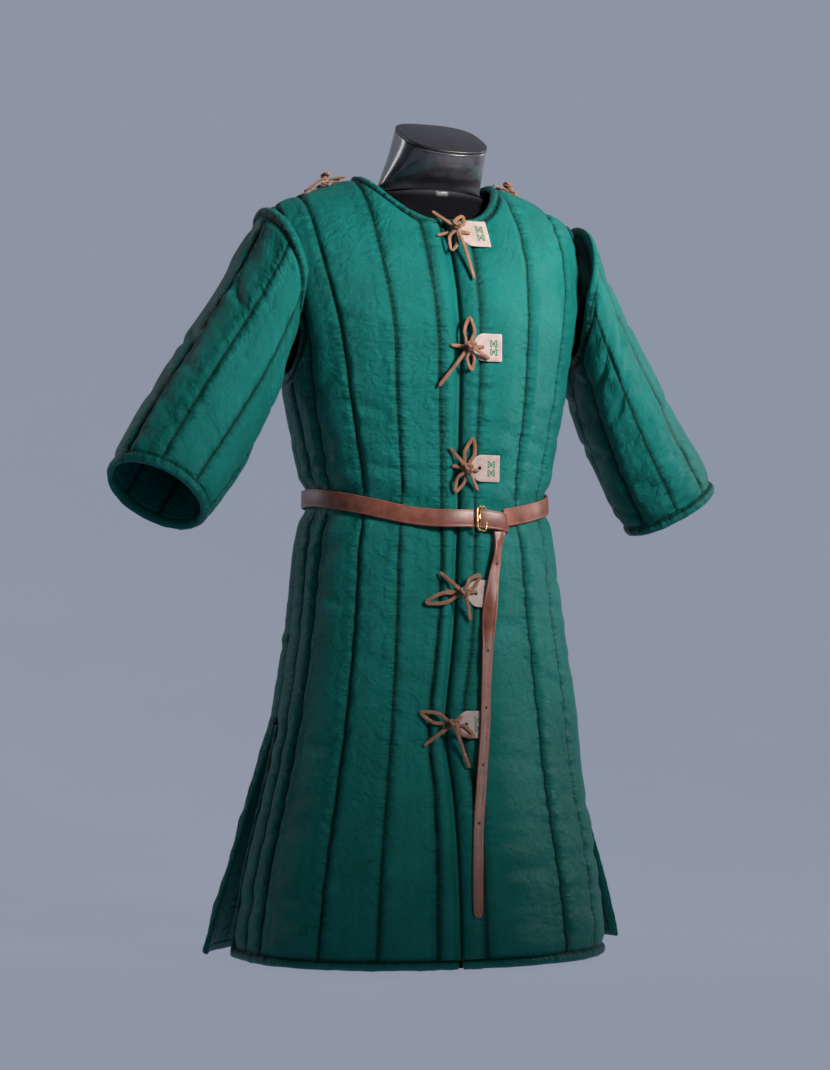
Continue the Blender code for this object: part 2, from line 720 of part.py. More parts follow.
TAB_SHAPE = (
    # side distance, half height, in millimetres
    (7.0, 6.0), (9.5, 11.0), (14.5, 15.0), (21.5, 16.5), (30.0, 17.0), (38.0, 17.0), (46.0, 17.0),
)


def tab(label, height):
    """A leather tab with a round nose and a hole, lying on the left front."""
    outer, inner, cells = {}, {}, []
    rows = (-1.0, -0.5, -0.16, 0.16, 0.5, 1.0)
    for i, (side, half) in enumerate(TAB_SHAPE):
        for j, share in enumerate(rows):
            reach = share * half
            if abs(share) < 0.2:
                reach = math.copysign(2.4, share)
            x, z = side * MM + closure_x(height), height + reach * MM
            inner[i, j] = front_place(x, z, tab_out(side))
            outer[i, j] = front_place(x, z, tab_out(side) + TAB_THICK / MM)
            if i < len(TAB_SHAPE) - 1 and j < len(rows) - 1 and (i, j) != (2, 2):
                cells.append((i, j))
    close_wall("tab_" + label, outer, inner, cells, SUEDE)


def shoulder_place(across, along, out, sign):
    """Point on top of a shoulder: distance from the middle, front to back, out."""
    share = min(across * MM / read(SECTION, 0.95, 1), 1.0)
    angle = math.degrees(math.asin(share ** (1.0 / FULLNESS)))
    top = crest(angle)
    drop = (along * MM) ** 2 / 0.11
    return Vector((sign * across * MM, RIDGE_Y + along * MM, top + out * MM - drop))


def shoulder_tie(side, sign):
    """Leather strap and knotted thong on a shoulder seam."""
    outer, inner, cells = {}, {}, []
    for i in range(7):
        across = 108.0 + i * 9.5
        for j in range(5):
            along = (j - 2) * 4.2 * (0.6 if i in (0, 6) else 1.0)
            inner[i, j] = shoulder_place(across, along, STRAP_OUT, sign)
            outer[i, j] = shoulder_place(across, along, STRAP_OUT + TAB_THICK / MM, sign)
            if i < 6 and j < 4:
                cells.append((i, j))
    close_wall("shoulder_strap_" + side, outer, inner, cells, SUEDE)
    base = STRAP_OUT + TAB_THICK / MM + 0.7 + THONG / 2 / MM
    middle = 132.0 if sign < 0 else 124.0
    shapes = ((-19, -3), (4, 24), (-24, 12), (22, 2), (3, -24), (26, -14))
    if sign > 0:
        shapes = ((-18, -2), (3, 22), (-25, 10), (20, 2), (4, -22), (24, -13))
    routes = thong_routes(*shapes, base + 0.1, base + 0.1, base + 0.1, base + 3.7)
    for letter, route in zip("ab", routes):
        points = [shoulder_place(middle + x, -y * 0.75, out, sign) for x, y, out in route]
        thong("shoulder_thong_" + side + "_" + letter, smooth_run(points, THONG * 2.6))
    knot = shoulder_place(middle, 0.0, base + 7.3 + THONG / 2 / MM + 0.4 + 3.0, sign)
    lean = Vector((sign * 0.93, 0.0, -0.36))
    lozenge("shoulder_knot_" + side, knot, lean, Vector((0, 1, 0)), Vector((sign * 0.36, 0, 0.93)),
            (6.0 * MM, 5.0 * MM, 3.0 * MM))


def belt_place(angle, out):
    """Point on the belt's line round the waist."""
    level = belt_height(angle)
    return inside(angle, level) + outward(angle, level) * out * MM


def belt_out(angle):
    """The belt stands off where thongs pass behind it and where it meets the ring."""
    near = math.exp(-((angle + 1.0) / 13.0) ** 2)
    return 7.0 + 10.4 * near


def belt():
    """Strap, ring, wrapping loop and hanging tail."""
    angles = [3.2 - k * 4.0 for k in range(5)] + [-17.0 - k * 7.0 for k in range(46)]
    angles = [a for a in angles if a > -338.0] + [-338.0, -342.6]
    path = [belt_place(a, belt_out((a + 180) % 360 - 180)) for a in angles]
    normals = [outward(a, belt_height(a)) for a in angles]
    tall, thick = BELT_TALL / MM / 2, BELT_THICK / MM
    section = ((-tall, 0.5), (-tall, thick - 0.5), (-tall + 1.2, thick), (tall - 1.2, thick),
               (tall, thick - 0.5), (tall, 0.5), (tall - 1.2, 0.0), (-tall + 1.2, 0.0))
    sweep("belt_strap", path, normals, section, False, LEATHER)
    ring_centre = front_place(0.0145, belt_height(0) - 0.0002, 17.7)
    ring_and_tail(ring_centre)


def ring_and_tail(centre):
    """Brass ring, the loop wrapped round it and the tail that hangs from the loop."""
    out = outward(3.0, belt_height(3.0))
    right = Vector((1.0, 0.0, 0.0))
    up = out.cross(right).normalized()
    verts, faces, around, tube = [], [], 20, 8
    for a in range(around):
        turn = 2 * math.pi * a / around
        spoke = right * math.cos(turn) * 0.0105 + up * math.sin(turn) * 0.0165
        ray = spoke.normalized()
        for t in range(tube):
            tilt = 2 * math.pi * t / tube
            verts.append(centre + out * 0.0045 + spoke
                         + ray * math.cos(tilt) * 0.0019 + out * math.sin(tilt) * 0.0019)
    for a in range(around):
        for t in range(tube):
            b, u = (a + 1) % around, (t + 1) % tube
            faces.append([a * tube + t, a * tube + u, b * tube + u, b * tube + t])
    add_mesh("buckle_ring", verts, faces, BRASS)
    # The wrapping loop is a folded pad beside the ring, and the tail hangs below it.
    outer, inner, cells = {}, {}, []
    for i in range(7):
        for j in range(5):
            x = 0.0290 + i * 0.0037
            z = belt_height(5) - 0.0125 + j * 0.0062 - 0.0006 * i
            puff = 4.5 + 4.0 * math.sin(math.pi * i / 6) * math.sin(math.pi * (j + 0.6) / 5.2)
            inner[i, j] = front_place(x, z, 11.9)
            outer[i, j] = front_place(x, z, 12.4 + puff)
            if i < 6 and j < 4:
                cells.append((i, j))
    close_wall("belt_knot", outer, inner, cells, LEATHER)
    outer, inner, cells = {}, {}, []
    for j, (z, x, half, out_mm) in enumerate(TAIL):
        for i in range(3):
            side = (x + (i - 1) * half) * MM
            inner[i, j] = front_place(side, z, out_mm)
            outer[i, j] = front_place(side, z, out_mm + BELT_THICK / MM)
            if i < 2 and j < len(TAIL) - 1:
                cells.append((i, j))
    close_wall("belt_tail", outer, inner, cells, LEATHER)


def section_ring(height, gap, gap_front, count):
    """Plan ring of the cloth's inside at a height, drawn in by a gap."""
    half = read(SECTION, height, 1)
    if height > CHEST:
        lo, hi = 0.0, 0.215
        for _ in range(30):
            mid = (lo + hi) / 2
            if read(SHOULDER_LINE, mid, 1) > height + SHOULDER_GAP:
                lo = mid
            else:
                hi = mid
        half = min(half - gap, lo)
    else:
        half -= gap
    ring = []
    for k in range(count):
        turn = 2 * math.pi * k / count
        x = half * power(math.sin(turn), FULLNESS)
        front = math.cos(turn) > 0
        inset = gap_front if front else gap
        if height <= CHEST:
            depth = read(SECTION, height, 2 if front else 3) - inset
            y = -depth * power(math.cos(turn), FULLNESS)
        else:
            wide = read(SECTION, height, 1)
            share = min(abs(x) / wide, 1.0)
            angle = math.degrees(math.asin(share ** (1 / FULLNESS)))
            reach = plan(angle if front else 180 - angle, CHEST, not front)[1]
            reach -= math.copysign(inset, reach) if abs(reach) > inset else reach
            top = read(SHOULDER_LINE, abs(x), 1) - SHOULDER_GAP
            part = min(max((height - CHEST) / (top - CHEST), 0.0), 1.0)
            fall = math.cos(math.asin(part ** (1 / SHOULDER_BOW))) ** SHOULDER_BOW
            fall *= read(NECK_DRAW, height, 1 if front else 2)
            y = RIDGE_Y + (reach - RIDGE_Y) * fall
            if abs(math.sin(turn)) > 0.999:
                y = RIDGE_Y
            elif front and height > 0.92 and abs(x) < 0.074:
                neck = -0.010 - 0.042 * math.sqrt(1 - (x / 0.074) ** 2)
                y = min(y, neck)
        ring.append(Vector((x, y, height)))
    return ring


def neck_ring(row, share, count):
    """Tilted ring of the neck; towards the top its back grows flatter and its sides squarer."""
    z, wide, deep, centre, lean = row
    tilt = math.radians(lean)
    along = Vector((0, -math.cos(tilt), -math.sin(tilt)))
    ring = []
    for k in range(count):
        turn = 2 * math.pi * k / count
        back = 1.0 - 0.45 * share if math.cos(turn) < 0 else 1.0 - 0.08 * share
        reach = deep * power(math.cos(turn), back)
        side = wide * power(math.sin(turn), 1.0 - 0.25 * share)
        ring.append(Vector((side, centre, z)) + along * reach)
    return ring


def dress_form():
    """Limbless torso with a leaning neck, its cap, pole and base."""
    count = 24
    rings = [section_ring(z, gap * MM, front * MM, count) for z, gap, front in FORM_RINGS]
    for number, row in enumerate(NECK_RINGS):
        rings.append(neck_ring(row, number / (len(NECK_RINGS) - 1), count))
    tilt = math.radians(NECK_RINGS[-1][4])
    normal = Vector((0, -math.sin(tilt), math.cos(tilt)))
    verts = [p for ring in rings for p in ring]
    faces = []
    for r in range(len(rings) - 1):
        for k in range(count):
            n = (k + 1) % count
            faces.append([r * count + k, r * count + n, (r + 1) * count + n, (r + 1) * count + k])
    faces.append(list(range(count)))
    faces.append([(len(rings) - 1) * count + k for k in range(count)])
    add_mesh("form_torso", verts, faces, GLOSS, 60)
    verts = [p + normal * h for h in (SEAM, CAP_THICK) for p in rings[-1]]
    faces = [list(range(count)), [count + k for k in range(count)]]
    faces += [[k, (k + 1) % count, count + (k + 1) % count, count + k] for k in range(count)]
    add_mesh("neck_cap", verts, faces, DARK)
    for worn in bpy.data.objects:
        worn.data.transform(Matrix.Translation((0.0, 0.0, LIFT)))
    cylinder("form_pole", POLE_RADIUS, BASE_TALL + SEAM, FORM_BOTTOM + LIFT - SEAM, 20)
    cylinder("form_base", BASE_RADIUS, 0.0, BASE_TALL, 40)


def cylinder(name, radius, low, high, count):
    """An upright round bar or plate."""
    ring = [(radius * math.cos(2 * math.pi * k / count), radius * math.sin(2 * math.pi * k / count))
            for k in range(count)]
    verts = [Vector((x, y, z)) for z in (low, high) for x, y in ring]
    faces = [list(range(count)), [count + k for k in range(count)]]
    faces += [[k, (k + 1) % count, count + (k + 1) % count, count + k] for k in range(count)]
    add_mesh(name, verts, faces, GLOSS)


def bindings(right, left, back):
    """Bound neckline, hems, slit edges and armholes."""
    arm, last = len(LOW_ROWS) - 1, len(LOW_ROWS) - 1 + HIGH_ROWS
    slit = LOW_ROWS.index(0.277)
    for name, (rim, start, end, _), flip in (("front_right", right, 1), ("front_left", left, -1)):
        first = start - 2 if name == "front_right" else 0
        keys = [(end, j) for j in range(slit, -1, -1)] + [(i, 0) for i in range(end - 1, first - 1, -1)]
        path, normals = edge_points(rim, keys)
        sweep("binding_" + name, path, normals, BIND_SECTION, False, BINDING, -flip)
    rim, total = back
    keys = [(0, j) for j in range(slit, -1, -1)] + [(i, 0) for i in range(1, total - 1)]
    keys += [(total - 1, j) for j in range(0, slit + 1)]
    path, normals = edge_points(rim, keys, True)
    sweep("binding_back", path, normals, BIND_SECTION, False, BINDING, 1)
    rim_f, start = right[0], right[1]
    path, normals = edge_points(rim_f, [(i, last) for i in range(start - 2, start + 5)])
    rim_b = back[0]
    run = [i for i in range(total) if abs(180 - abs(rim_b[i, last][0] if (i, last) in rim_b else 0))
           < NECK_ANGLE - 0.5]
    a, b = edge_points(rim_b, [(i, last) for i in run], True)
    path += a
    normals += b
    rim_f, start = left[0], left[1]
    a, b = edge_points(rim_f, [(i, last) for i in range(start + 4, -1, -1)])
    path += a
    normals += b
    sweep("binding_neck", path, normals, INNER_SECTION, False, BINDING, -1)
    for name, front, sign in (("right", right, -1), ("left", left, 1)):
        rim_f, _, end, column = front
        keys = [(column, j) for j in range(last, arm - 1, -1)]
        keys += [(i, arm) for i in range(column + 1, end)]
        path, normals = edge_points(rim_f, keys)
        cols = range(1, 4) if sign < 0 else range(total - 2, total - 5, -1)
        keys = [(i, arm) for i in cols] + [(cols[-1], j) for j in range(arm + 1, last)]
        a, b = edge_points(rim_b, keys, True)
        sweep("binding_armhole_" + name, path + a, normals + b, INNER_SECTION, True, BINDING, sign)


for old in list(bpy.data.objects):
    bpy.data.objects.remove(old, do_unlink=True)

right_front = front_panel("front_right", -1)
left_front = front_panel("front_left", 1)
back_cloth = back_panel()
bindings(right_front, left_front, back_cloth)
sleeve("right")
sleeve("left")
belt()
for tie_label, tie_height, *tie_shapes in TIES:
    tab(tie_label, tie_height)
    tie(tie_label, tie_height, tie_shapes)
shoulder_tie("right", -1)
shoulder_tie("left", 1)
dress_form()
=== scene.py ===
"""Looks of the quilted gambeson on its limbless dress form: cloth, ties, belt, form and studio.

Metres, in the CAD's frame: +Z up, front towards -Y, wearer's right towards -X.
"""

import json
import math

import bmesh
import bpy
import numpy as np
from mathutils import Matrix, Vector

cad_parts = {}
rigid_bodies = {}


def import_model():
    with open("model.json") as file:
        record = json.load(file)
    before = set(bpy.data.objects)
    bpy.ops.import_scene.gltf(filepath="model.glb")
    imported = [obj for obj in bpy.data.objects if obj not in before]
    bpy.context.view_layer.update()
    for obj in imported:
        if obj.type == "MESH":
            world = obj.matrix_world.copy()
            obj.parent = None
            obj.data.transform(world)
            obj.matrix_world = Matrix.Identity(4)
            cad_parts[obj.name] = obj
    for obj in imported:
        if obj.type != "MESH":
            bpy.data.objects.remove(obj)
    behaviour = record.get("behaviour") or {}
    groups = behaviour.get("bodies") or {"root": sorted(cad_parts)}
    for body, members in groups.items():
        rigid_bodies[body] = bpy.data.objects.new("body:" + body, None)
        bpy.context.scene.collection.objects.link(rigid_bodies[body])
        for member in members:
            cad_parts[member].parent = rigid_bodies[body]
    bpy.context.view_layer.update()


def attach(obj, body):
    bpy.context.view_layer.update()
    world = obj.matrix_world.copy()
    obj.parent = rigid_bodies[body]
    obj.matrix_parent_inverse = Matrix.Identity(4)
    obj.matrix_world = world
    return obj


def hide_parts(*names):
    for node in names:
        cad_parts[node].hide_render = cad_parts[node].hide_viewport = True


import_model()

MM = 0.001

# Camera and lights
CAMERA_PLACE = (-1.2856, -3.1476, 0.390)
CAMERA_TURN = 22.0
CAMERA_TILT = 2.494
CAMERA_LENS = 88.8
KEY_WATTS = 10.5
FILL_WATTS = 1.2
RIM_LEFT_WATTS = 2.0
RIM_RIGHT_WATTS = 7.0

# The cloth's shape, as in the CAD
HEM = -0.010
LIFT = 0.015
SLIT_TOP = 0.283
SLIT_END = 0.277
CHEST = 0.760
CROWN = 0.95
RISE = 0.200
ARM_ROW = 0.775
FULLNESS = 2.0 / 2.3
SHOULDER_BOW = 1.18
RIDGE_Y = 0.012
SEAM = 0.0003
NECK_ANGLE = 24.0
NECK_FRONT = 0.908
NECK_BACK = 0.955
ARM_ANGLE = 68.0
SIDE_ANGLE = 97.0
BACK_HEM_ANGLE = 106.0
BIND_WIDTH = 0.011
BELT_SIDE = 0.567
BELT_DIP = 0.030
BELT_THICK = 0.0028
BELT_TALL = 0.022
GIRTH = 0.17
SLEEVE_GIRTH = 0.06
EDGE_FADE = 0.013

# The cloth's thickness in millimetres, and its grid
STITCH_DEPTH = 3.3
CREST_DEPTH = 10.4
SLEEVE_STITCH = 2.8
SLEEVE_CREST = 9.2
ROW_STEP = 0.0048
HIGH_COUNT = 54
SLEEVE_ROWS = 76

# Colours on the cloth, two of them painted shade beside and along the stitch lines, and the length of a stitch
# in metres
STITCH_LENGTH = 0.0052
LINT_COLOUR = (0.090, 0.300, 0.260, 1.0)
# Painted shade: the first darkens the cloth beside each stitch line, the second fills the valley along it
PAINTED_STITCH_SHADE = (0.0010, 0.016, 0.013, 1.0)
PAINTED_VALLEY_SHADE = (0.0008, 0.009, 0.007, 1.0)
THREAD_COLOUR = (0.008, 0.085, 0.060, 1.0)

# Thongs, in millimetres
RIBBON_WIDE = 4.8
RIBBON_THICK = 2.3
THONG_STEP = 1.3
KNOT_SIZE = (0.0052, 0.0050, 0.0022)
KNOT_RISE = 3.6

SECTION = (
    # height, half width, front depth, back depth
    (-0.010, 0.242, 0.200, 0.192), (0.100, 0.226, 0.182, 0.178), (0.190, 0.206, 0.163, 0.166),
    (0.277, 0.189, 0.147, 0.156), (0.375, 0.174, 0.137, 0.147), (0.439, 0.166, 0.131, 0.139),
    (0.494, 0.161, 0.126, 0.131), (0.568, 0.150, 0.121, 0.121), (0.640, 0.163, 0.125, 0.121),
    (0.697, 0.176, 0.129, 0.122), (0.760, 0.186, 0.131, 0.122), (0.880, 0.210, 0.131, 0.122),
    (1.000, 0.212, 0.131, 0.122),
)
BACK_SKIRT = (
    # height, half width, sideways shift
    (-0.010, 0.298, 0.016), (0.060, 0.274, 0.014), (0.130, 0.249, 0.011), (0.200, 0.224, 0.007),
    (0.289, 0.187, 0.000),
)
SHOULDER_LINE = (
    # distance from the middle, height of the shoulder seam
    (0.000, 0.982), (0.085, 0.979), (0.100, 0.973), (0.142, 0.957), (0.182, 0.941), (0.215, 0.925),
)
FRONT_LINES = (
    # height, then the stitch lines' angles from the middle, in degrees
    (0.000, 29.0, 49.0, 76.0), (0.280, 28.0, 48.0, 75.0), (0.565, 27.0, 47.5, 73.0),
    (0.700, 26.0, 48.0, 70.0), (0.775, 25.0, 49.0, 68.0), (0.960, 24.0, 50.0, 68.0),
)
CLOSURE = (
    # height, how far the closing edge swings to the wearer's right, in degrees
    (0.000, 3.8), (0.125, 3.6), (0.205, 4.4), (0.260, 6.2), (0.300, 6.1), (0.360, 4.1),
    (0.420, 2.3), (0.485, 1.2), (0.550, 0.0),
)
BACK_LINES = (108.0, 126.0, 144.0, 162.0)
ARMHOLE_LOW = (
    # angle from the middle, height of the armhole's edge
    (68.0, 0.775), (76.0, 0.741), (84.0, 0.723), (97.0, 0.716), (104.0, 0.735), (112.0, 0.775),
)
SLEEVE_HEAD = (
    # clock angle from the top towards the front, side, front to back, height
    (0, 0.2190, 0.010, 0.923), (45, 0.213, -0.052, 0.899), (90, 0.204, -0.086, 0.842),
    (135, 0.206, -0.062, 0.776), (180, 0.216, -0.004, 0.750), (225, 0.215, 0.052, 0.775),
    (270, 0.209, 0.082, 0.842), (315, 0.213, 0.056, 0.899),
)
SLEEVES = {
    # side sign, cuff centre, cuff facing, tangent at the head, swell above and below
    "right": (-1, (-0.395, -0.120, 0.559), (-0.525, -0.327, -0.785), (-0.42, -0.12, -0.90), 0.002, 0.015),
    "left": (1, (0.361, 0.010, 0.560), (0.523, 0.060, -0.846), (0.30, -0.02, -0.95), 0.001, 0.004),
}
CUFF_RADIUS = 0.0595
SLEEVE_SPLITS = 8
HEAD_BIND_WIDER, CUFF_BIND_WIDER = 1.10, 1.18

LAP_RIGHT = (
    # step, angle from the closing edge, sunk by, thickness in millimetres
    (0, 11.0, 5.5, 3.6), (1, 6.0, 5.5, 3.6), (2, -1.25, 4.8, 3.8), (3, -2.5, 2.5, 5.8),
    (4, -3.8, 0.7, 8.6), (5, -5.8, 0.0, 9.4), (6, -8.5, 0.0, 3.9),
)
LAP_LEFT = (
    (0, -0.65, 0.0, 4.0), (1, -0.1, 0.0, 7.0), (2, 0.9, 0.0, 9.3), (3, 2.6, 0.0, 9.6), (4, 4.5, 0.0, 3.9),
)
LAP_HIDDEN = 9
LAP_SPAN = 24.0
ACROSS = (0.0, 0.035, 0.09, 0.18, 0.3, 0.43, 0.57, 0.7, 0.82, 0.91, 0.965)

CREASES = (
    # angle and height at one end, the same at the other, half width and depth in millimetres
    (-60.0, 0.640, -84.0, 0.600, 9.0, 1.6), (-52.0, 0.520, -80.0, 0.492, 8.0, 1.5),
    (-30.0, 0.505, -47.0, 0.470, 7.0, 1.3), (-12.0, 0.498, -26.0, 0.520, 6.0, 1.0),
    (-50.0, 0.430, -72.0, 0.452, 8.0, 1.3), (-30.0, 0.360, -46.0, 0.372, 9.0, 1.1),
    (-51.0, 0.255, -70.0, 0.262, 9.0, 1.2), (-12.0, 0.215, -27.0, 0.226, 10.0, 1.0),
    (-30.0, 0.130, -46.0, 0.122, 10.0, 1.2), (-52.0, 0.070, -72.0, 0.084, 10.0, 1.2),
    (-12.0, 0.080, -27.0, 0.068, 11.0, 1.1), (8.0, 0.505, 26.0, 0.487, 7.0, 1.2),
    (29.0, 0.500, 46.0, 0.470, 7.0, 1.4), (50.0, 0.480, 71.0, 0.455, 8.0, 1.5),
    (8.0, 0.395, 26.0, 0.406, 8.0, 1.1), (29.0, 0.340, 46.0, 0.326, 8.0, 1.2),
    (8.0, 0.240, 26.0, 0.228, 9.0, 1.1), (30.0, 0.180, 47.0, 0.196, 9.0, 1.3),
    (51.0, 0.120, 73.0, 0.106, 9.0, 1.2), (8.0, 0.095, 26.0, 0.110, 10.0, 1.0),
    (29.0, 0.640, 46.0, 0.622, 8.0, 1.3), (50.0, 0.660, 72.0, 0.640, 9.0, 1.6),
    (8.0, 0.650, 24.0, 0.640, 8.0, 0.9), (-14.0, 0.648, -26.0, 0.630, 8.0, 0.9),
    (-30.0, 0.668, -46.0, 0.690, 9.0, 1.2), (-52.0, 0.735, -66.0, 0.700, 9.0, 1.5),
    (51.0, 0.730, 66.0, 0.700, 9.0, 1.5), (-29.0, 0.820, -45.0, 0.800, 10.0, 0.9),
    (29.0, 0.830, 46.0, 0.808, 10.0, 0.9), (111.0, 0.500, 125.0, 0.475, 8.0, 1.4),
    (128.0, 0.480, 143.0, 0.505, 8.0, 1.3), (146.0, 0.500, 161.0, 0.472, 8.0, 1.4),
    (164.0, 0.470, 179.0, 0.500, 8.0, 1.2), (-111.0, 0.470, -125.0, 0.495, 8.0, 1.4),
    (-128.0, 0.505, -143.0, 0.478, 8.0, 1.3), (-146.0, 0.476, -161.0, 0.498, 8.0, 1.3),
    (128.0, 0.330, 143.0, 0.345, 9.0, 1.1), (-146.0, 0.300, -161.0, 0.286, 9.0, 1.2),
    (110.0, 0.200, 125.0, 0.215, 9.0, 1.2), (-128.0, 0.160, -143.0, 0.174, 10.0, 1.1),
    (164.0, 0.130, -165.0 + 360.0, 0.140, 10.0, 1.0), (146.0, 0.075, 161.0, 0.060, 10.0, 1.2),
    (-110.0, 0.090, -125.0, 0.074, 10.0, 1.1), (130.0, 0.660, 146.0, 0.640, 8.0, 1.3),
    (-130.0, 0.640, -146.0, 0.662, 8.0, 1.3), (150.0, 0.720, 172.0, 0.735, 10.0, 1.0),
    (-150.0, 0.800, -170.0, 0.784, 10.0, 1.0),
)
SLEEVE_CREASES = (
    # clock angle and share along at one end, the same at the other, half width and depth in millimetres
    (20, 0.30, 62, 0.36, 7.0, 1.5), (66, 0.24, 106, 0.30, 8.0, 1.8), (110, 0.20, 152, 0.24, 8.0, 2.2),
    (110, 0.38, 150, 0.44, 7.0, 1.9), (66, 0.50, 106, 0.47, 7.0, 1.4), (20, 0.62, 60, 0.66, 8.0, 1.4),
    (110, 0.60, 150, 0.55, 7.0, 1.5), (66, 0.74, 106, 0.79, 8.0, 1.3), (155, 0.30, 196, 0.36, 8.0, 2.0),
    (155, 0.56, 195, 0.50, 8.0, 1.7), (200, 0.24, 240, 0.30, 8.0, 1.8), (200, 0.48, 240, 0.54, 8.0, 1.5),
    (245, 0.34, 285, 0.30, 8.0, 1.4), (245, 0.66, 285, 0.60, 8.0, 1.3), (290, 0.42, 330, 0.48, 8.0, 1.3),
    (290, 0.76, 330, 0.70, 8.0, 1.2), (335, 0.54, 376, 0.50, 8.0, 1.2), (110, 0.80, 150, 0.84, 8.0, 1.2),
)

BIND_SECTION = (
    # distance from the cloth's edge and out of it, in millimetres
    (-0.3, 0.2), (-0.5, 3.2), (0.4, 5.2), (1.5, 6.3), (2.6, 7.1), (4.2, 7.8), (6.4, 7.8), (8.6, 7.0),
    (10.4, 5.4), (11.3, 3.3), (11.0, 1.2), (9.6, -0.4), (7.2, -1.1), (4.4, -1.1), (1.8, -0.6),
)

TIES = (
    # height, stub, loop tip, tail end, then the same for the tab's thong, all in millimetres
    ("1", 0.896, (-24, -6), (16, 20), (-22, 26), (20, -2), (-10, -26), (14, -62)),
    ("2", 0.752, (-22, 1), (3, 34), (-36, -50), (19, 0), (5, -28), (28, -14)),
    ("3", 0.602, (-17, 2), (9, 36), (-20, 24), (18, -3), (-12, -30), (16, -28)),
    ("4", 0.444, (-20, 3), (-44, -12), (-26, 26), (20, 2), (24, 22), (10, -34)),
    ("5", 0.282, (-16, 2), (-36, 15), (-34, -26), (14, 10), (28, -15), (20, -54)),
)
SHOULDER_TIES = {
    "right": (-1, 132.0, ((-19, -3), (4, 24), (-24, 12), (22, 2), (3, -24), (26, -14))),
    "left": (1, 124.0, ((-18, -2), (3, 22), (-25, 10), (20, 2), (4, -22), (24, -13))),
}
STRAP_OUT = 6.9
TAB_THICK = 2.2
CAD_THONG = 3.2
TAB_START, TAB_END, TAB_HALF = 7.0, 46.0, 17.0
TAB_NOSE, TAB_CORNER = 15.5, 1.5
TAB_HOLE = (19.0, 2.3)

TAIL = (
    # height, side distance, half width, out from the cloth
    (0.521, 43.0, 8.0, 13.5), (0.505, 40.5, 6.5, 14.0), (0.485, 36.5, 6.5, 14.5), (0.460, 31.5, 7.5, 14.5),
    (0.435, 28.0, 8.0, 14.0), (0.405, 24.5, 7.5, 13.5), (0.365, 20.5, 7.0, 13.0), (0.320, 17.0, 6.5, 12.8),
    (0.270, 13.5, 6.5, 12.8), (0.210, 7.0, 6.8, 11.0), (0.150, -1.0, 6.8, 10.5), (0.090, -6.0, 6.8, 10.5),
    (0.050, -8.0, 6.0, 10.5),
)
TAIL_STEPS = 140
TAIL_HOLES = (0.482, 0.372, 0.302, 0.232, 0.162)

FORM_RINGS = (
    # height, gap to the cloth at the sides and back, and at the front, in millimetres
    (0.345, 13.0, 13.0), (0.400, 12.0, 12.0), (0.470, 11.0, 11.0), (0.530, 9.0, 10.0),
    (0.568, 8.0, 10.0), (0.620, 9.0, 11.0), (0.680, 9.0, 11.0), (0.730, 8.0, 11.0),
    (0.790, 7.0, 12.0), (0.840, 6.0, 12.0), (0.880, 5.0, 12.0), (0.910, 4.0, 11.0),
    (0.932, 4.0, 7.0), (0.948, 4.0, 6.0), (0.960, 3.5, 5.0),
)
NECK_DRAW = (
    # height, share of the front and back reach left as the shoulders turn into the neck
    (0.910, 1.00, 1.00), (0.932, 0.86, 0.86), (0.948, 0.52, 0.74), (0.960, 0.28, 0.46),
)
NECK_RINGS = (
    # height, half width, half depth, centre front to back, tilt in degrees
    (0.9618, 0.0740, 0.0420, -0.0100, 0.0), (0.9730, 0.0680, 0.0470, -0.0155, 6.0),
    (0.9860, 0.0640, 0.0535, -0.0270, 13.0), (1.0040, 0.0590, 0.0580, -0.0425, 20.0),
    (1.0250, 0.0555, 0.0600, -0.0580, 27.0),
)
SHOULDER_GAP = 0.0013


def read(table, at, column):
    """Read one column of a table at a place in its first column, smoothly."""
    if at <= table[0][0]:
        return table[0][column]
    if at >= table[-1][0]:
        return table[-1][column]
    k = 0
    while table[k + 1][0] < at:
        k += 1
    last = len(table) - 1
    span = table[k + 1][0] - table[k][0]
    t = (at - table[k][0]) / span
    slopes = []
    for m in (k, k + 1):
        lo, hi = max(m - 1, 0), min(m + 1, last)
        slopes.append((table[hi][column] - table[lo][column]) / (table[hi][0] - table[lo][0]))
    a, b = table[k][column], table[k + 1][column]
    return (a * (1 + 2 * t) * (1 - t) ** 2 + b * t * t * (3 - 2 * t)
            + span * t * (1 - t) * (slopes[0] * (1 - t) - slopes[1] * t))


def eased(share):
    """Ease a share in and out."""
    return share * share * (3 - 2 * share)


def power(value, exponent):
    """Signed power, for rounded-box sections."""
    return math.copysign(abs(value) ** exponent, value)


def plan(angle, height, back):
    """Plan position of the cloth's inside at an angle from the middle front."""
    turn = math.radians(angle)
    half, shift = read(SECTION, height, 1), 0.0
    if height < BACK_SKIRT[-1][0]:
        if back:
            half, shift = read(BACK_SKIRT, height, 1), read(BACK_SKIRT, height, 2)
        else:
            shift = -0.35 * read(BACK_SKIRT, height, 2)
            half -= read(BACK_SKIRT, height, 2) if angle > 0 else 0.0
    depth = read(SECTION, height, 2 if math.cos(turn) > 0 else 3)
    return shift + half * power(math.sin(turn), FULLNESS), -depth * power(math.cos(turn), FULLNESS)


def crest(angle):
    """Height of the shoulder seam above one column of the cloth."""
    across = read(SECTION, CROWN, 1) * abs(power(math.sin(math.radians(angle)), FULLNESS))
    return read(SHOULDER_LINE, across, 1)


def level_at(angle, height):
    """Level at which one column of the cloth reaches a height above the chest."""
    part = min((height - CHEST) / (crest(angle) - CHEST), 1.0)
    return CHEST + RISE * math.asin(part ** (1 / SHOULDER_BOW)) / (math.pi / 2)


def angle_at(x, height):
    """Angle from the middle front at which the cloth's half reaches a side distance."""
    share = min(abs(x) / read(SECTION, height, 1), 1.0)
    return math.copysign(math.degrees(math.asin(share ** (1 / FULLNESS))), x)


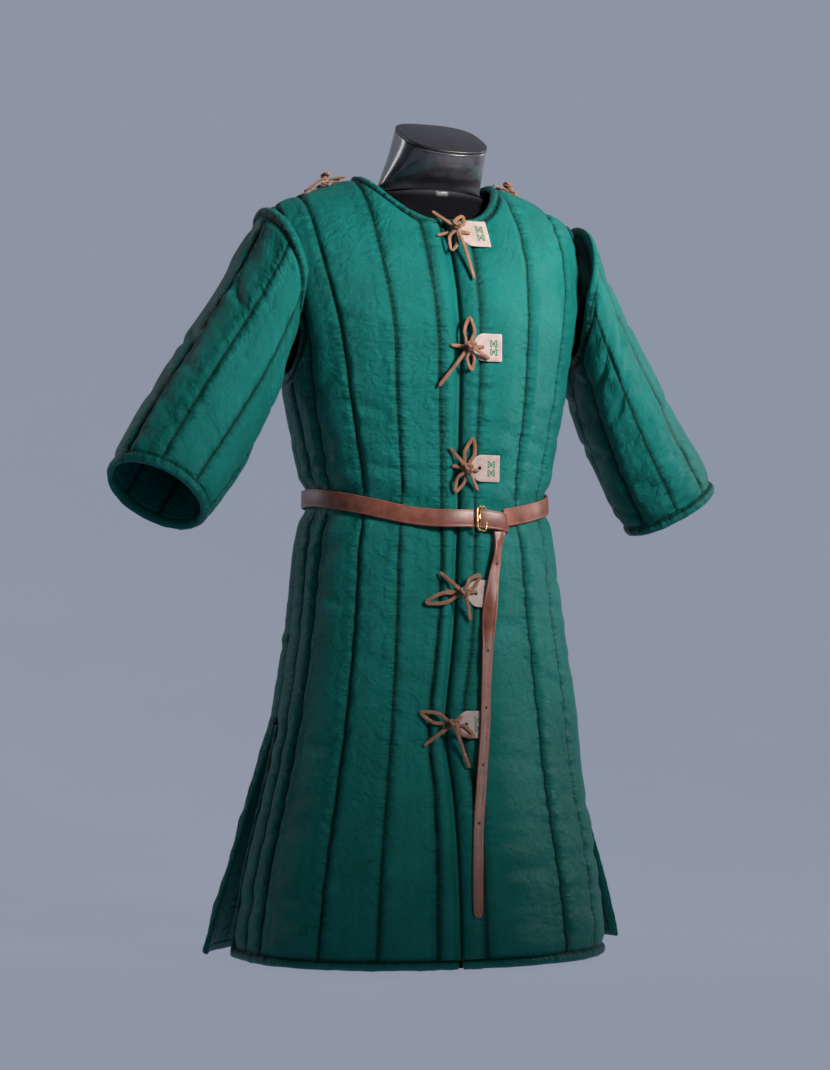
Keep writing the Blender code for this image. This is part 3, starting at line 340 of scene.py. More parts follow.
def inside(angle, level, back=False):
    """Point on the cloth's inside; levels above the chest run up to the shoulder seam."""
    if level <= CHEST:
        x, y = plan(angle, level, back)
        return Vector((x, y, level))
    turn = min((level - CHEST) / RISE, 1.0) * math.pi / 2
    height = CHEST + (crest(angle) - CHEST) * math.sin(turn) ** SHOULDER_BOW
    x = plan(angle, height, back)[0]
    reach = plan(angle, CHEST, back)[1]
    ridge = RIDGE_Y + (SEAM / 2 if back else -SEAM / 2)
    y = ridge + (reach - ridge) * max(math.cos(turn), 0.0) ** SHOULDER_BOW
    return Vector((x, y, height))


def outward(angle, level, back=False):
    """Unit direction out of the cloth."""
    level = min(max(level, 0.002), CHEST + RISE * 0.93)
    across = inside(angle + 0.4, level, back) - inside(angle - 0.4, level, back)
    up = inside(angle, level + 0.002, back) - inside(angle, level - 0.002, back)
    return across.cross(up).normalized()


def belt_height(angle):
    """Height of the belt's middle; it dips at the front."""
    return BELT_SIDE - BELT_DIP * max(math.cos(math.radians(angle)), 0.0) ** 2


def neck_end(angle, back):
    """Level at which a column meets the neckline, or the shoulder seam."""
    aside = abs(180.0 - abs(angle)) if back else abs(angle)
    if aside >= NECK_ANGLE:
        return CHEST + RISE
    low = NECK_BACK if back else NECK_FRONT
    return level_at(angle, low + (crest(NECK_ANGLE) - low) * (aside / NECK_ANGLE) ** 2.4)


def closure_x(height):
    """Side distance of the closing edge at a height."""
    swing = math.radians(read(CLOSURE, height, 1))
    return -read(SECTION, height, 1) * power(math.sin(swing), FULLNESS)


def slit_edge(level, back):
    """Angle of a panel's edge at the side: seam above, slit below."""
    gap = math.degrees(SEAM / 2 / 0.16)
    seam = SIDE_ANGLE + gap if back else SIDE_ANGLE - gap
    away = max(SLIT_TOP - level, 0.0) / SLIT_TOP
    slit = SIDE_ANGLE - 3.4 + 0.8 * away
    if back:
        slit = SIDE_ANGLE + 3.4 + (BACK_HEM_ANGLE - SIDE_ANGLE - 0.8) * away
    return slit + (seam - slit) * eased(min(max((level - SLIT_END) / 0.016, 0.0), 1.0))


def front_place(x, z, out):
    """Point in front of the closure at a side distance and height, moved out by millimetres."""
    angle = angle_at(x, z)
    level = level_at(angle, z) if z > CHEST else z
    return inside(angle, level) + outward(angle, level) * out * MM


def shoulder_place(across, along, out, sign):
    """Point on top of a shoulder: distance from the middle, front to back, out, in millimetres."""
    top = crest(angle_at(across * MM, CROWN))
    drop = (along * MM) ** 2 / 0.11
    return Vector((sign * across * MM, RIDGE_Y + along * MM, top + out * MM - drop))


def curve(a, b, c, d, t):
    """Point between b and c on a smooth curve through four points."""
    return 0.5 * (2 * b + (c - a) * t + (2 * a - 5 * b + 4 * c - d) * t * t
                  + (3 * b - a - 3 * c + d) * t ** 3)


def smooth_run(points, step):
    """Points about a step apart along a smooth curve through the given ones."""
    route = [Vector(p) for p in points]
    fine = []
    for k in range(len(route) - 1):
        a, b = route[max(k - 1, 0)], route[k]
        c, d = route[k + 1], route[min(k + 2, len(route) - 1)]
        fine += [curve(a, b, c, d, m / 16) for m in range(16)]
    fine.append(route[-1])
    gone = [0.0]
    for a, b in zip(fine, fine[1:]):
        gone.append(gone[-1] + (b - a).length)
    count = max(int(round(gone[-1] / step)), 3)
    stops = np.linspace(0.0, gone[-1], count + 1)
    spread = [np.interp(stops, gone, [p[axis] for p in fine]) for axis in range(3)]
    return [Vector(p) for p in zip(*spread)]


def ripple(u, v, seed, count=7):
    """Smooth uneven waves over a sheet, from about -1 to 1."""
    chance = np.random.default_rng(seed)
    total = np.zeros(np.broadcast(u, v).shape)
    for _ in range(count):
        turn, phase = chance.uniform(0, 2 * math.pi, 2)
        pace = chance.uniform(0.6, 1.5)
        total += np.sin(pace * (u * math.cos(turn) + v * math.sin(turn)) + phase)
    return total / math.sqrt(count * 2.0)


def crinkle(u, v, seed, long, short):
    """Thin winding creases over a sheet, 1 in a crease and 0 between, longer one way than the other."""
    return np.exp(-(ripple(u / long, v / short, seed, 6) / 0.30) ** 2)


def skin(size, count, closed=False, start=0):
    """Faces over a run of rings of one size, with flat ends unless the run closes on itself."""
    faces = []
    for k in range(count if closed else count - 1):
        a, b = start + k * size, start + (k + 1) % count * size
        faces += [[a + m, a + (m + 1) % size, b + (m + 1) % size, b + m] for m in range(size)]
    if not closed:
        last = start + (count - 1) * size
        faces += [list(range(start, start + size)), list(range(last, last + size))]
    return faces


def make_object(name, verts, faces, mat, uvs=None, lift=True, sharp=None):
    """Add one mesh to the scene, its faces turned outwards."""
    points = np.array([tuple(v) for v in verts], dtype=float)
    if lift:
        points[:, 2] += LIFT
    mesh = bpy.data.meshes.new(name)
    mesh.from_pydata(points.tolist(), [], faces)
    work = bmesh.new()
    work.from_mesh(mesh)
    bmesh.ops.recalc_face_normals(work, faces=work.faces)
    work.to_mesh(mesh)
    work.free()
    if uvs:
        ids = np.empty(len(mesh.loops), dtype=np.int32)
        mesh.loops.foreach_get("vertex_index", ids)
        for label, values in uvs.items():
            layer = mesh.uv_layers.new(name=label)
            layer.data.foreach_set("uv", np.array(values, dtype=np.float32)[ids].ravel())
    mesh.materials.append(mat)
    mesh.shade_smooth()
    if sharp is not None:
        mesh.set_sharp_from_angle(angle=math.radians(sharp))
    obj = bpy.data.objects.new(name, mesh)
    bpy.context.scene.collection.objects.link(obj)
    return obj


def grid_shell(name, outer, inner, keep, mat, maps, wrap=False):
    """Join two grids of points over the kept cells into one closed cloth wall."""
    columns = outer.shape[0]
    index, verts, uv = {}, [], {label: [] for label in maps}

    def corner(side, i, j):
        i = i % columns if wrap else i
        key = (side, i, j)
        if key not in index:
            index[key] = len(verts)
            verts.append((outer if side else inner)[i, j])
            for label, values in maps.items():
                uv[label].append(values[i, j])
        return index[key]

    faces, rim = [], set()
    for i, j in zip(*np.nonzero(keep)):
        i, j = int(i), int(j)
        loop = [(i, j), (i + 1, j), (i + 1, j + 1), (i, j + 1)]
        faces.append([corner(1, *p) for p in loop])
        faces.append([corner(0, *p) for p in reversed(loop)])
        for a, b in zip(loop, loop[1:] + loop[:1]):
            if wrap:
                a, b = (a[0] % columns, a[1]), (b[0] % columns, b[1])
            if (b, a) in rim:
                rim.discard((b, a))
            else:
                rim.add((a, b))
    for a, b in sorted(rim):
        faces.append([corner(1, *b), corner(1, *a), corner(0, *a), corner(0, *b)])
    return make_object(name, verts, faces, mat, uv)


def sweep(name, path, normals, section, closed, mat, flip=1, wobble=0.0, seed=1, sharp=None):
    """Sweep a section along an edge: first number away from the cloth, second out of it."""
    count, size = len(path), len(section)
    chance = np.random.default_rng(seed)
    gather = chance.normal(0.0, 1.0, (count, size))
    gather = (gather + np.roll(gather, 1, 0) + np.roll(gather, 1, 1)) / 1.8 * wobble
    mid_s = sum(s for s, _ in section) / size
    mid_h = sum(h for _, h in section) / size
    seam = min(section, key=lambda p: abs(p[0] - 1.5) + (p[1] < 4.0) * 9.0)
    verts, uv, line, gone = [], [], [], 0.0
    for k in range(count):
        before = path[k] - path[k - 1] if closed or k > 0 else None
        ahead = path[(k + 1) % count] - path[k] if closed or k < count - 1 else None
        sides = [normals[k].cross(step).normalized() * flip for step in (before, ahead)
                 if step is not None and step.length > 1e-9]
        away = sides[0]
        if len(sides) == 2:
            away = (sides[0] + sides[1]) / (1.0 + max(sides[0].dot(sides[1]), -0.3))
        gone += before.length if before is not None and k > 0 else 0.0
        for m, (s, h) in enumerate(section):
            swell = 1.0 + gather[k, m] / max(math.hypot(s - mid_s, h - mid_h), 1.0)
            verts.append(path[k] + away * (mid_s + (s - mid_s) * swell) * MM
                         + normals[k] * (mid_h + (h - mid_h) * swell) * MM)
            uv.append((m / size * 0.034, gone))
            line.append((abs(s - seam[0]) * MM if h > 2.0 else 0.02, gone))
    return make_object(name, verts, skin(size, count, closed), mat, {"cloth": uv, "line": line}, sharp=sharp)


# Node helpers

def fill(node, values):
    """Set or link the inputs of a node."""
    for key, value in values.items():
        if isinstance(value, bpy.types.NodeSocket):
            node.id_data.links.new(value, node.inputs[key])
        else:
            node.inputs[key].default_value = value


def add(tree, kind, inputs, **settings):
    """Add a node, with its settings and its inputs as values or as sockets to link."""
    node = tree.nodes.new(kind)
    for key, value in settings.items():
        setattr(node, key, value)
    fill(node, inputs)
    return node


def ramp(tree, factor, stops):
    """Add a colour ramp with the given places and colours."""
    node = add(tree, "ShaderNodeValToRGB", {0: factor})
    while len(node.color_ramp.elements) < len(stops):
        node.color_ramp.elements.new(0.5)
    for element, (place, colour) in zip(node.color_ramp.elements, stops):
        element.position = place
        element.color = colour
    return node.outputs[0]


def maths(tree, operation, first, second=0.0, third=0.0):
    """Add a maths node."""
    return add(tree, "ShaderNodeMath", {0: first, 1: second, 2: third}, operation=operation).outputs[0]


def weighed(tree, first, share, second, other):
    """Sum of two values by their weights."""
    return maths(tree, "MULTIPLY_ADD", first, share, maths(tree, "MULTIPLY", second, other))


def mixed(tree, factor, first, second):
    """Mix two colours."""
    return add(tree, "ShaderNodeMix", {0: factor, 6: first, 7: second}, data_type="RGBA").outputs[2]


def noise(tree, place, scale, detail, **others):
    """Add a noise texture and give back its value."""
    inputs = {"Vector": place, "Scale": scale, "Detail": detail, **others}
    return add(tree, "ShaderNodeTexNoise", inputs).outputs[0]


def spread_out(tree, value, start, end, low, high, ease="SMOOTHSTEP"):
    """Carry a value from one range over to another."""
    return add(tree, "ShaderNodeMapRange", {0: value, 1: start, 2: end, 3: low, 4: high},
               interpolation_type=ease).outputs[0]


def bumped(tree, height, strength, distance):
    """Turn a height into a bumped normal."""
    return add(tree, "ShaderNodeBump", {"Height": height, "Strength": strength,
                                        "Distance": distance}).outputs[0]


def object_place(tree):
    """The place on an object, in metres."""
    return add(tree, "ShaderNodeTexCoord", {}).outputs["Object"]


def new_material(name):
    """Make a material and give back its tree and Principled node."""
    made = bpy.data.materials.new(name)
    made.use_nodes = True
    return made, made.node_tree, made.node_tree.nodes["Principled BSDF"]


def new_group(name, inputs, outputs):
    """Make a shader node group with its sockets."""
    group = bpy.data.node_groups.new(name, "ShaderNodeTree")
    for label, kind, value in inputs:
        socket = group.interface.new_socket(label, in_out="INPUT", socket_type=kind)
        if value is not None:
            socket.default_value = value
    for label, kind in outputs:
        group.interface.new_socket(label, in_out="OUTPUT", socket_type=kind)
    return group, group.nodes.new("NodeGroupInput"), group.nodes.new("NodeGroupOutput")


def weave_group():
    """Twill of fine threads with slubs: a height and a tint, from a map in metres."""
    group, start, end = new_group(
        "cotton_weave", [("Vector", "NodeSocketVector", None), ("Pitch", "NodeSocketFloat", 1500.0)],
        [("Height", "NodeSocketFloat"), ("Tint", "NodeSocketFloat")])
    place = add(group, "ShaderNodeVectorMath", {0: start.outputs[0], "Scale": start.outputs[1]},
                operation="SCALE").outputs[0]
    warp = add(group, "ShaderNodeTexWave", {"Vector": place, "Scale": 1.0, "Distortion": 0.6},
               wave_type="BANDS", bands_direction="DIAGONAL").outputs["Fac"]
    weft = add(group, "ShaderNodeTexWave", {"Vector": place, "Scale": 0.7, "Distortion": 0.8},
               wave_type="BANDS", bands_direction="X").outputs["Fac"]
    fill(end, {0: weighed(group, warp, 0.6, weft, 0.4), 1: noise(group, place, 0.12, 4.0)})
    return group


def leather_group():
    """Leather grain: pebbles and broad patches as a height, and a patchy mask."""
    group, start, end = new_group(
        "leather_grain", [("Vector", "NodeSocketVector", None), ("Scale", "NodeSocketFloat", 900.0)],
        [("Height", "NodeSocketFloat"), ("Patch", "NodeSocketFloat")])
    pebble = add(group, "ShaderNodeTexVoronoi",
                 {"Vector": start.outputs[0], "Scale": start.outputs[1]}).outputs["Distance"]
    low = maths(group, "MULTIPLY", start.outputs[1], 0.05)
    patch = noise(group, start.outputs[0], low, 6.0, Roughness=0.6)
    fill(end, {0: weighed(group, pebble, 0.5, patch, 0.8), 1: patch})
    return group


def use_group(tree, group, inputs):
    """Add a node group to a tree."""
    return add(tree, "ShaderNodeGroup", inputs, node_tree=group)


WEAVE = weave_group()
GRAIN = leather_group()


def cloth_material(name, base, light):
    """Satin cotton: weave, soft shine, uneven dye, crumples, lint and pressed stitch lines, with painted shade
    beside and along the stitch lines.
    """
    made, tree, shader = new_material(name)
    cloth = add(tree, "ShaderNodeUVMap", {}, uv_map="cloth").outputs[0]
    weave = use_group(tree, WEAVE, {"Vector": cloth})
    fine = noise(tree, cloth, 220.0, 6.0, Roughness=0.65)
    tone = weighed(tree, noise(tree, cloth, 14.0, 5.0), 0.55, fine, 0.45)
    colour = ramp(tree, tone, ((0.30, base), (0.70, light)))

    # Lint
    spots = add(tree, "ShaderNodeTexVoronoi", {"Vector": cloth, "Scale": 170.0})
    chance = add(tree, "ShaderNodeSeparateXYZ", {0: spots.outputs["Color"]}).outputs[0]
    seen = maths(tree, "MULTIPLY", maths(tree, "LESS_THAN", spots.outputs["Distance"], 0.10),
                 maths(tree, "GREATER_THAN", chance, 0.86))
    colour = mixed(tree, maths(tree, "MULTIPLY", seen, 0.45), colour, LINT_COLOUR)

    # Crumples and folds
    crumple = noise(tree, cloth, 70.0, 4.0, Distortion=0.8)
    folds = noise(tree, cloth, 26.0, 2.0, Distortion=1.6)
    off = maths(tree, "ABSOLUTE", maths(tree, "MULTIPLY_ADD", folds, 5.0, -2.5))
    fold = maths(tree, "SUBTRACT", 1.0, off)
    height = weighed(tree, crumple, 1.25, weave.outputs["Height"], 0.045)
    height = maths(tree, "MULTIPLY_ADD", maths(tree, "MAXIMUM", fold, 0.0), 0.16, height)

    # Stitch lines, with their puckers and thread, and painted shade beside and along them
    line = add(tree, "ShaderNodeUVMap", {}, uv_map="line").outputs[0]
    parts = add(tree, "ShaderNodeSeparateXYZ", {0: line})
    away, along = parts.outputs[0], parts.outputs[1]
    squeezed = add(tree, "ShaderNodeCombineXYZ", {
        0: maths(tree, "MULTIPLY", away, 34.0), 1: maths(tree, "MULTIPLY", along, 92.0)}).outputs[0]
    near = spread_out(tree, away, 0.0, 0.022, 1.0, 0.0)
    pucker = maths(tree, "MULTIPLY", noise(tree, squeezed, 1.0, 2.0), near)
    height = maths(tree, "MULTIPLY_ADD", pucker, 3.6, height)
    stitch = maths(tree, "FRACT", maths(tree, "MULTIPLY", along, 1 / STITCH_LENGTH))
    wave = maths(tree, "COSINE", maths(tree, "MULTIPLY", stitch, 2 * math.pi))
    beat = maths(tree, "MULTIPLY_ADD", wave, 0.0006, 0.0026)
    # Mask of the painted shade in the valley along each stitch line, its width beating with the stitches
    valley_shade_mask = spread_out(tree, away, 0.0005, beat, 1.0, 0.0)
    on_line = spread_out(tree, away, 0.0003, 0.0008, 1.0, 0.0, "LINEAR")
    thread = maths(tree, "MULTIPLY", on_line, maths(tree, "LESS_THAN", stitch, 0.62))
    # Painted shade: the colour darkens over 9 mm towards each stitch line and goes nearly black in the valley
    # along it
    colour = mixed(tree, spread_out(tree, away, 0.0, 0.009, 0.42, 0.0), colour, PAINTED_STITCH_SHADE)
    colour = mixed(tree, maths(tree, "MULTIPLY", valley_shade_mask, 0.86), colour, PAINTED_VALLEY_SHADE)
    colour = mixed(tree, maths(tree, "MULTIPLY", thread, 0.28), colour, THREAD_COLOUR)
    height = maths(tree, "MULTIPLY_ADD", thread, 0.4, height)
    fill(shader, {"Base Color": colour, "Roughness": maths(tree, "MULTIPLY_ADD", fine, 0.12, 0.40),
                  "Normal": bumped(tree, height, 0.95, 0.0026), "Specular IOR Level": 0.15,
                  "Specular Tint": (0.40, 1.0, 0.95, 1.0), "Sheen Weight": 0.025, "Sheen Roughness": 0.4,
                  "Sheen Tint": (0.35, 0.95, 0.85, 1.0)})
    return made


def leather_material(name, dark, light, rough, grain, bump_size, coat=0.0):
    """Leather with grain, patchy colour and rubbed places."""
    made, tree, shader = new_material(name)
    place = object_place(tree)
    hide = use_group(tree, GRAIN, {"Vector": place, "Scale": grain})
    colour = ramp(tree, hide.outputs["Patch"], ((0.30, dark), (0.68, light)))
    rubbed = add(tree, "ShaderNodeNewGeometry", {}).outputs["Pointiness"]
    worn = spread_out(tree, rubbed, 0.52, 0.60, 0.0, 0.55, "LINEAR")
    colour = mixed(tree, worn, colour, tuple(min(c * 1.9, 1.0) for c in light[:3]) + (1.0,))
    bump = bumped(tree, hide.outputs["Height"], 0.55, bump_size)
    fill(shader, {"Base Color": colour, "Normal": bump, "Coat Weight": coat, "Coat Roughness": 0.28,
                  "Roughness": maths(tree, "MULTIPLY_ADD", hide.outputs["Patch"], 0.18, rough - 0.09)})
    return made


CLOTH = cloth_material("green_quilted_cotton", (0.0022, 0.080, 0.068, 1.0), (0.0064, 0.136, 0.121, 1.0))
BINDING = cloth_material("green_cotton_binding", (0.0022, 0.084, 0.072, 1.0), (0.0064, 0.138, 0.123, 1.0))
BELT = leather_material("brown_belt_leather", (0.085, 0.022, 0.013, 1.0), (0.200, 0.058, 0.034, 1.0), 0.40,
                        1400.0, 0.0004, 0.06)
TAB = leather_material("pale_tab_leather", (0.230, 0.170, 0.155, 1.0), (0.340, 0.262, 0.240, 1.0), 0.66,
                       1700.0, 0.0003)
PATCH = leather_material("brown_shoulder_leather", (0.090, 0.045, 0.036, 1.0), (0.180, 0.095, 0.075, 1.0),
                         0.50, 1500.0, 0.0003)


def suede_material():
    """Suede lace: rough, fibrous, with a pale nap."""
    made, tree, shader = new_material("brown_suede_thong")
    place = object_place(tree)
    fibre = noise(tree, place, 900.0, 6.0, Roughness=0.75)
    colour = ramp(tree, weighed(tree, fibre, 0.5, noise(tree, place, 90.0, 4.0), 0.5),
                  ((0.30, (0.085, 0.032, 0.016, 1.0)), (0.72, (0.310, 0.145, 0.082, 1.0))))
    fill(shader, {"Base Color": colour, "Roughness": 0.86, "Normal": bumped(tree, fibre, 0.9, 0.0007),
                  "Sheen Weight": 0.35,
                  "Sheen Roughness": 0.5, "Sheen Tint": (0.9, 0.6, 0.4, 1.0)})
    return made


def brass_material():
    """Brass with a soft polish and darker patches."""
    made, tree, shader = new_material("worn_brass")
    place = object_place(tree)
    patch = noise(tree, place, 260.0, 5.0)
    colour = ramp(tree, patch, ((0.35, (0.34, 0.21, 0.08, 1.0)), (0.65, (0.72, 0.50, 0.22, 1.0))))
    fill(shader, {"Base Color": colour, "Metallic": 1.0, "Normal": bumped(tree, patch, 0.25, 0.0002),
                  "Roughness": maths(tree, "MULTIPLY_ADD", patch, 0.25, 0.16)})
    return made


def form_material(name, dark, light, rough, coat):
    """The form's lacquer: near black, with faint brushing and dust, and dull low on the neck, where painted
    shade darkens it further.
    """
    made, tree, shader = new_material(name)
    place = object_place(tree)
    stretched = add(tree, "ShaderNodeMapping", {0: place, 3: (60.0, 60.0, 6.0)}).outputs[0]
    streak = noise(tree, stretched, 1.0, 5.0)
    dust = noise(tree, place, 700.0, 3.0)
    colour = ramp(tree, streak, ((0.3, dark), (0.7, light)))
    height = add(tree, "ShaderNodeSeparateXYZ", {0: place}).outputs[2]
    # Painted shade: below the foot of the neck the lacquer is darkened almost to black, fading out up the neck
    low = spread_out(tree, height, 0.968, 0.994, 1.0, 0.0)
    colour = mixed(tree, low, colour, (0.004, 0.004, 0.005, 1.0))
    dull = maths(tree, "MULTIPLY_ADD", low, 0.45, rough)
    fill(shader, {"Base Color": colour, "Normal": bumped(tree, streak, 0.25, 0.0012), "Coat Roughness": 0.08,
                  "Specular IOR Level": maths(tree, "MULTIPLY_ADD", low, -0.5, 0.5),
                  "Coat Weight": maths(tree, "MULTIPLY_ADD", low, -coat, coat),
                  "Roughness": maths(tree, "MULTIPLY_ADD", dust, 0.14, dull)})
    return made


def plain_noise_material(name, dark, light, rough, scale):
    """A plain surface with faint mottling, for thread, and for the discs of painted shade that stand for holes.
    """
    made, tree, shader = new_material(name)
    place = object_place(tree)
    patch = noise(tree, place, scale, 3.0)
    fill(shader, {"Base Color": ramp(tree, patch, ((0.3, dark), (0.7, light))), "Roughness": rough,
                  "Normal": bumped(tree, patch, 0.15, 0.0002)})
    return made


def studio_material():
    """Backdrop paper, softly lit by itself so that it stays even."""
    made, tree, shader = new_material("studio_paper")
    place = object_place(tree)
    patch = noise(tree, place, 3.0, 3.0)
    glow = ramp(tree, patch, ((0.3, (0.262, 0.289, 0.360, 1.0)), (0.7, (0.266, 0.293, 0.365, 1.0))))
    fill(shader, {"Base Color": (0.045, 0.05, 0.06, 1.0), "Roughness": 0.95, "Emission Color": glow,
                  "Emission Strength": 1.0, "Specular IOR Level": 0.0})
    return made


SUEDE = suede_material()
BRASS = brass_material()
FORM = form_material("form_charcoal_gloss", (0.036, 0.033, 0.038, 1.0), (0.080, 0.074, 0.084, 1.0), 0.16, 0.7)
CAP = form_material("form_cap_satin", (0.006, 0.005, 0.006, 1.0), (0.012, 0.010, 0.012, 1.0), 0.38, 0.1)
THREAD = plain_noise_material("green_thread", (0.004, 0.060, 0.026, 1.0), (0.030, 0.260, 0.120, 1.0), 0.6,
                              1500.0)
# Painted shade: near black, for the discs laid where the belt's holes are
HOLE_SHADE = plain_noise_material("painted_hole_shade", (0.004, 0.002, 0.002, 1.0), (0.010, 0.005, 0.004, 1.0), 0.9,
                            800.0)
STUDIO = studio_material()


def finish_piece(obj, slot_name, *nodes):
    """Put a piece on the root body in place of its CAD nodes, or beside them."""
    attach(obj, "root")
    if nodes:
        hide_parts(*nodes)
    return obj


def make_camera():
    """The camera at the photograph's angle."""
    data = bpy.data.cameras.new("camera")
    data.lens = CAMERA_LENS
    data.sensor_width = 36.0
    data.clip_end = 60.0
    obj = bpy.data.objects.new("camera", data)
    turn, tilt = math.radians(CAMERA_TURN), math.radians(CAMERA_TILT)
    forward = Vector((math.sin(turn) * math.cos(tilt), math.cos(turn) * math.cos(tilt), math.sin(tilt)))
    obj.location = CAMERA_PLACE
    obj.rotation_euler = forward.to_track_quat("-Z", "Y").to_euler()
    bpy.context.scene.collection.objects.link(obj)
    bpy.context.scene.camera = obj


# Cords

def thong_routes(stub_a, loop_a, tail_a, stub_b, loop_b, tail_b, low, tab_low, mid, high):
    """Two knotted thongs as routes of side, height and out distances."""
    def part(p, share, aside=0.0):
        size = math.hypot(*p)
        return p[0] * share - p[1] / size * aside, p[1] * share + p[0] / size * aside

    routes = []
    for stub, loop, tail, start, over in ((stub_a, loop_a, tail_a, low, high),
                                          (stub_b, loop_b, tail_b, tab_low, high + KNOT_RISE)):
        size = math.hypot(*loop)
        lean = 1.0 if loop[0] * stub[1] - loop[1] * stub[0] > 0 else -1.0
        width = min(6.0, size * 0.22)
        near = (stub[0] / math.hypot(*stub) * 3.4, stub[1] / math.hypot(*stub) * 3.4)
        go = part(loop, 0.55, lean * width)
        back = part(loop, 0.55, -lean * width)
        centre = (near[0] * 0.2, near[1] * 0.2)
        routes.append([
            (stub[0], stub[1], start), (stub[0] * 0.55, stub[1] * 0.55, (start + mid) / 2),
            (near[0], near[1], mid), (go[0] * 0.5 + near[0] * 0.3, go[1] * 0.5 + near[1] * 0.3, mid),
            (go[0], go[1], mid - 0.6), (loop[0], loop[1], mid), (back[0], back[1], (mid + over) / 2 + 0.6),
            (back[0] * 0.45, back[1] * 0.45, over), (centre[0], centre[1], over),
            (tail[0] * 0.32, tail[1] * 0.32, over - 0.2),
            (tail[0] * 0.65, tail[1] * 0.65, (over + start) / 2), (tail[0], tail[1], start + 0.9),
        ])
    return routes


def ribbon_mesh(name, points, out, mat, seed, wide=RIBBON_WIDE, thick=RIBBON_THICK, closed=False):
    """A flat thong along a run of points, its face turned out, leaning a little this way and that."""
    chance = np.random.default_rng(seed)
    phase, pace = chance.uniform(0, 6.28), chance.uniform(0.7, 1.2)
    around, count = 10, len(points)
    verts, uv, gone = [], [], 0.0
    for k, point in enumerate(points):
        a = points[k - 1] if closed or k > 0 else points[k]
        b = points[(k + 1) % count] if closed or k < count - 1 else points[k]
        run = (b - a).normalized()
        side = run.cross(out)
        if side.length < 0.25:
            side = run.cross(out + Vector((0.31, 0.2, 0.5)))
        side.normalize()
        face = side.cross(run).normalized()
        lean = 0.45 * math.sin(phase + pace * gone / 0.012)
        across = side * math.cos(lean) + face * math.sin(lean)
        up = face * math.cos(lean) - side * math.sin(lean)
        slim = 1.0
        if not closed:
            slim = min(1.0, 0.62 + 0.38 * min(k, count - 1 - k) / 2.0)
        fray = 1.0 + chance.uniform(-0.05, 0.05)
        for m in range(around):
            turn = 2 * math.pi * m / around
            verts.append(point + across * power(math.cos(turn), 0.6) * wide / 2 * slim * fray * MM
                         + up * power(math.sin(turn), 0.7) * thick / 2 * MM)
            uv.append((m / around * 0.014, gone))
        gone += (b - point).length
    return make_object(name, verts, skin(around, count, closed), mat, {"cloth": uv})


def knot_mesh(name, centre, right, up, out, size, seed):
    """A thong drawn into a tight overhand knot."""
    points = []
    for k in range(72):
        t = 2 * math.pi * k / 72
        x = (math.sin(t) + 2 * math.sin(2 * t)) / 2.75
        y = (math.cos(t) - 2 * math.cos(2 * t)) / 2.75
        points.append(centre + right * x * size[0] + up * y * size[1] - out * math.sin(3 * t) * size[2])
    return ribbon_mesh(name, points, out, SUEDE, seed, 3.9, 2.6, True)


def tie_cords(label, placed, node_names, seed, out):
    """The two thongs of one tie, each as a flat ribbon along its route."""
    for k, (points, node) in enumerate(zip(placed, node_names)):
        run = smooth_run(points, THONG_STEP * MM)
        piece = ribbon_mesh("lace_" + label + "ab"[k], run, out, SUEDE, seed + k)
        finish_piece(piece, "thong_suede", node)


def make_ties():
    """The five closing ties and the two shoulder ties, with their knots."""
    right = Vector((1.0, 0.0, 0.0))
    for number, (label, height, *shapes) in enumerate(TIES):
        middle = closure_x(height) / MM - 1.0
        low, tab_low, mid, high = 10.5, 13.7, 13.2, 16.8
        routes = thong_routes(*shapes, low, tab_low, mid, high)
        placed = [[front_place((middle + x) * MM, height + z * MM, out) for x, z, out in route]
                  for route in routes]
        out = outward(0.0, min(height, CHEST + 0.15))
        up = out.cross(right).normalized()
        place = front_place(middle * MM, height, high + KNOT_RISE + CAD_THONG / 2 + 2.8)
        knot = knot_mesh("tie_knot_" + label, place, right, up, out, KNOT_SIZE, 40 + number)
        finish_piece(knot, "thong_suede", "knot_" + label)
        tie_cords(label, placed, ("thong_" + label + "a", "thong_" + label + "b"), 10 + 2 * number, out)
    for number, (side, (sign, middle, shapes)) in enumerate(SHOULDER_TIES.items()):
        base = STRAP_OUT + TAB_THICK + 0.7 + CAD_THONG / 2
        routes = thong_routes(*shapes, base + 0.1, base + 0.1, base + 0.1, base + 3.7)
        placed = [[shoulder_place(middle + x, -y * 0.75, out, sign) for x, y, out in route]
                  for route in routes]
        out = Vector((sign * 0.36, 0, 0.93))
        lean = Vector((sign * 0.93, 0.0, -0.36))
        place = shoulder_place(middle, 0.0, base + 9.9 + CAD_THONG / 2, sign)
        knot = knot_mesh("shoulder_tie_knot_" + side, place, lean, Vector((0, 1, 0)), out, KNOT_SIZE,
                         60 + number)
        finish_piece(knot, "thong_suede", "shoulder_knot_" + side)
        names = ("shoulder_thong_" + side + "_a", "shoulder_thong_" + side + "_b")
        tie_cords("shoulder_" + side + "_", placed, names, 30 + 2 * number, out)


# Cloth

LOW = np.linspace(HEM + BIND_WIDTH, ARM_ROW, int(round((ARM_ROW - HEM - BIND_WIDTH) / ROW_STEP)) + 1)
ARM = len(LOW) - 1
LAST_ROW = ARM + HIGH_COUNT


def level_of(angle, row, back):
    """Level of one grid row on one column."""
    if row > ARM:
        return ARM_ROW + (neck_end(angle, back) - ARM_ROW) * (row - ARM) / HIGH_COUNT
    level = LOW[row]
    if ARM_ANGLE < abs(angle) < 180.0 - ARM_ANGLE and level > 0.60:
        low = read(ARMHOLE_LOW, abs(angle), 1)
        level = 0.60 + (level - 0.60) * (low - 0.60) / (ARM_ROW - 0.60)
    return level


def front_stops(side, level):
    """Angles of one front's stitch lines and side edge at a level."""
    swing = read(CLOSURE, level, 1)
    first = max(8.5, swing + 7.4) if side < 0 else 4.5 - swing
    edge = slit_edge(level, False)
    return [first] + [read(FRONT_LINES, level, k) for k in (1, 2, 3)] + [min(edge - 9.0, 86.0), edge]


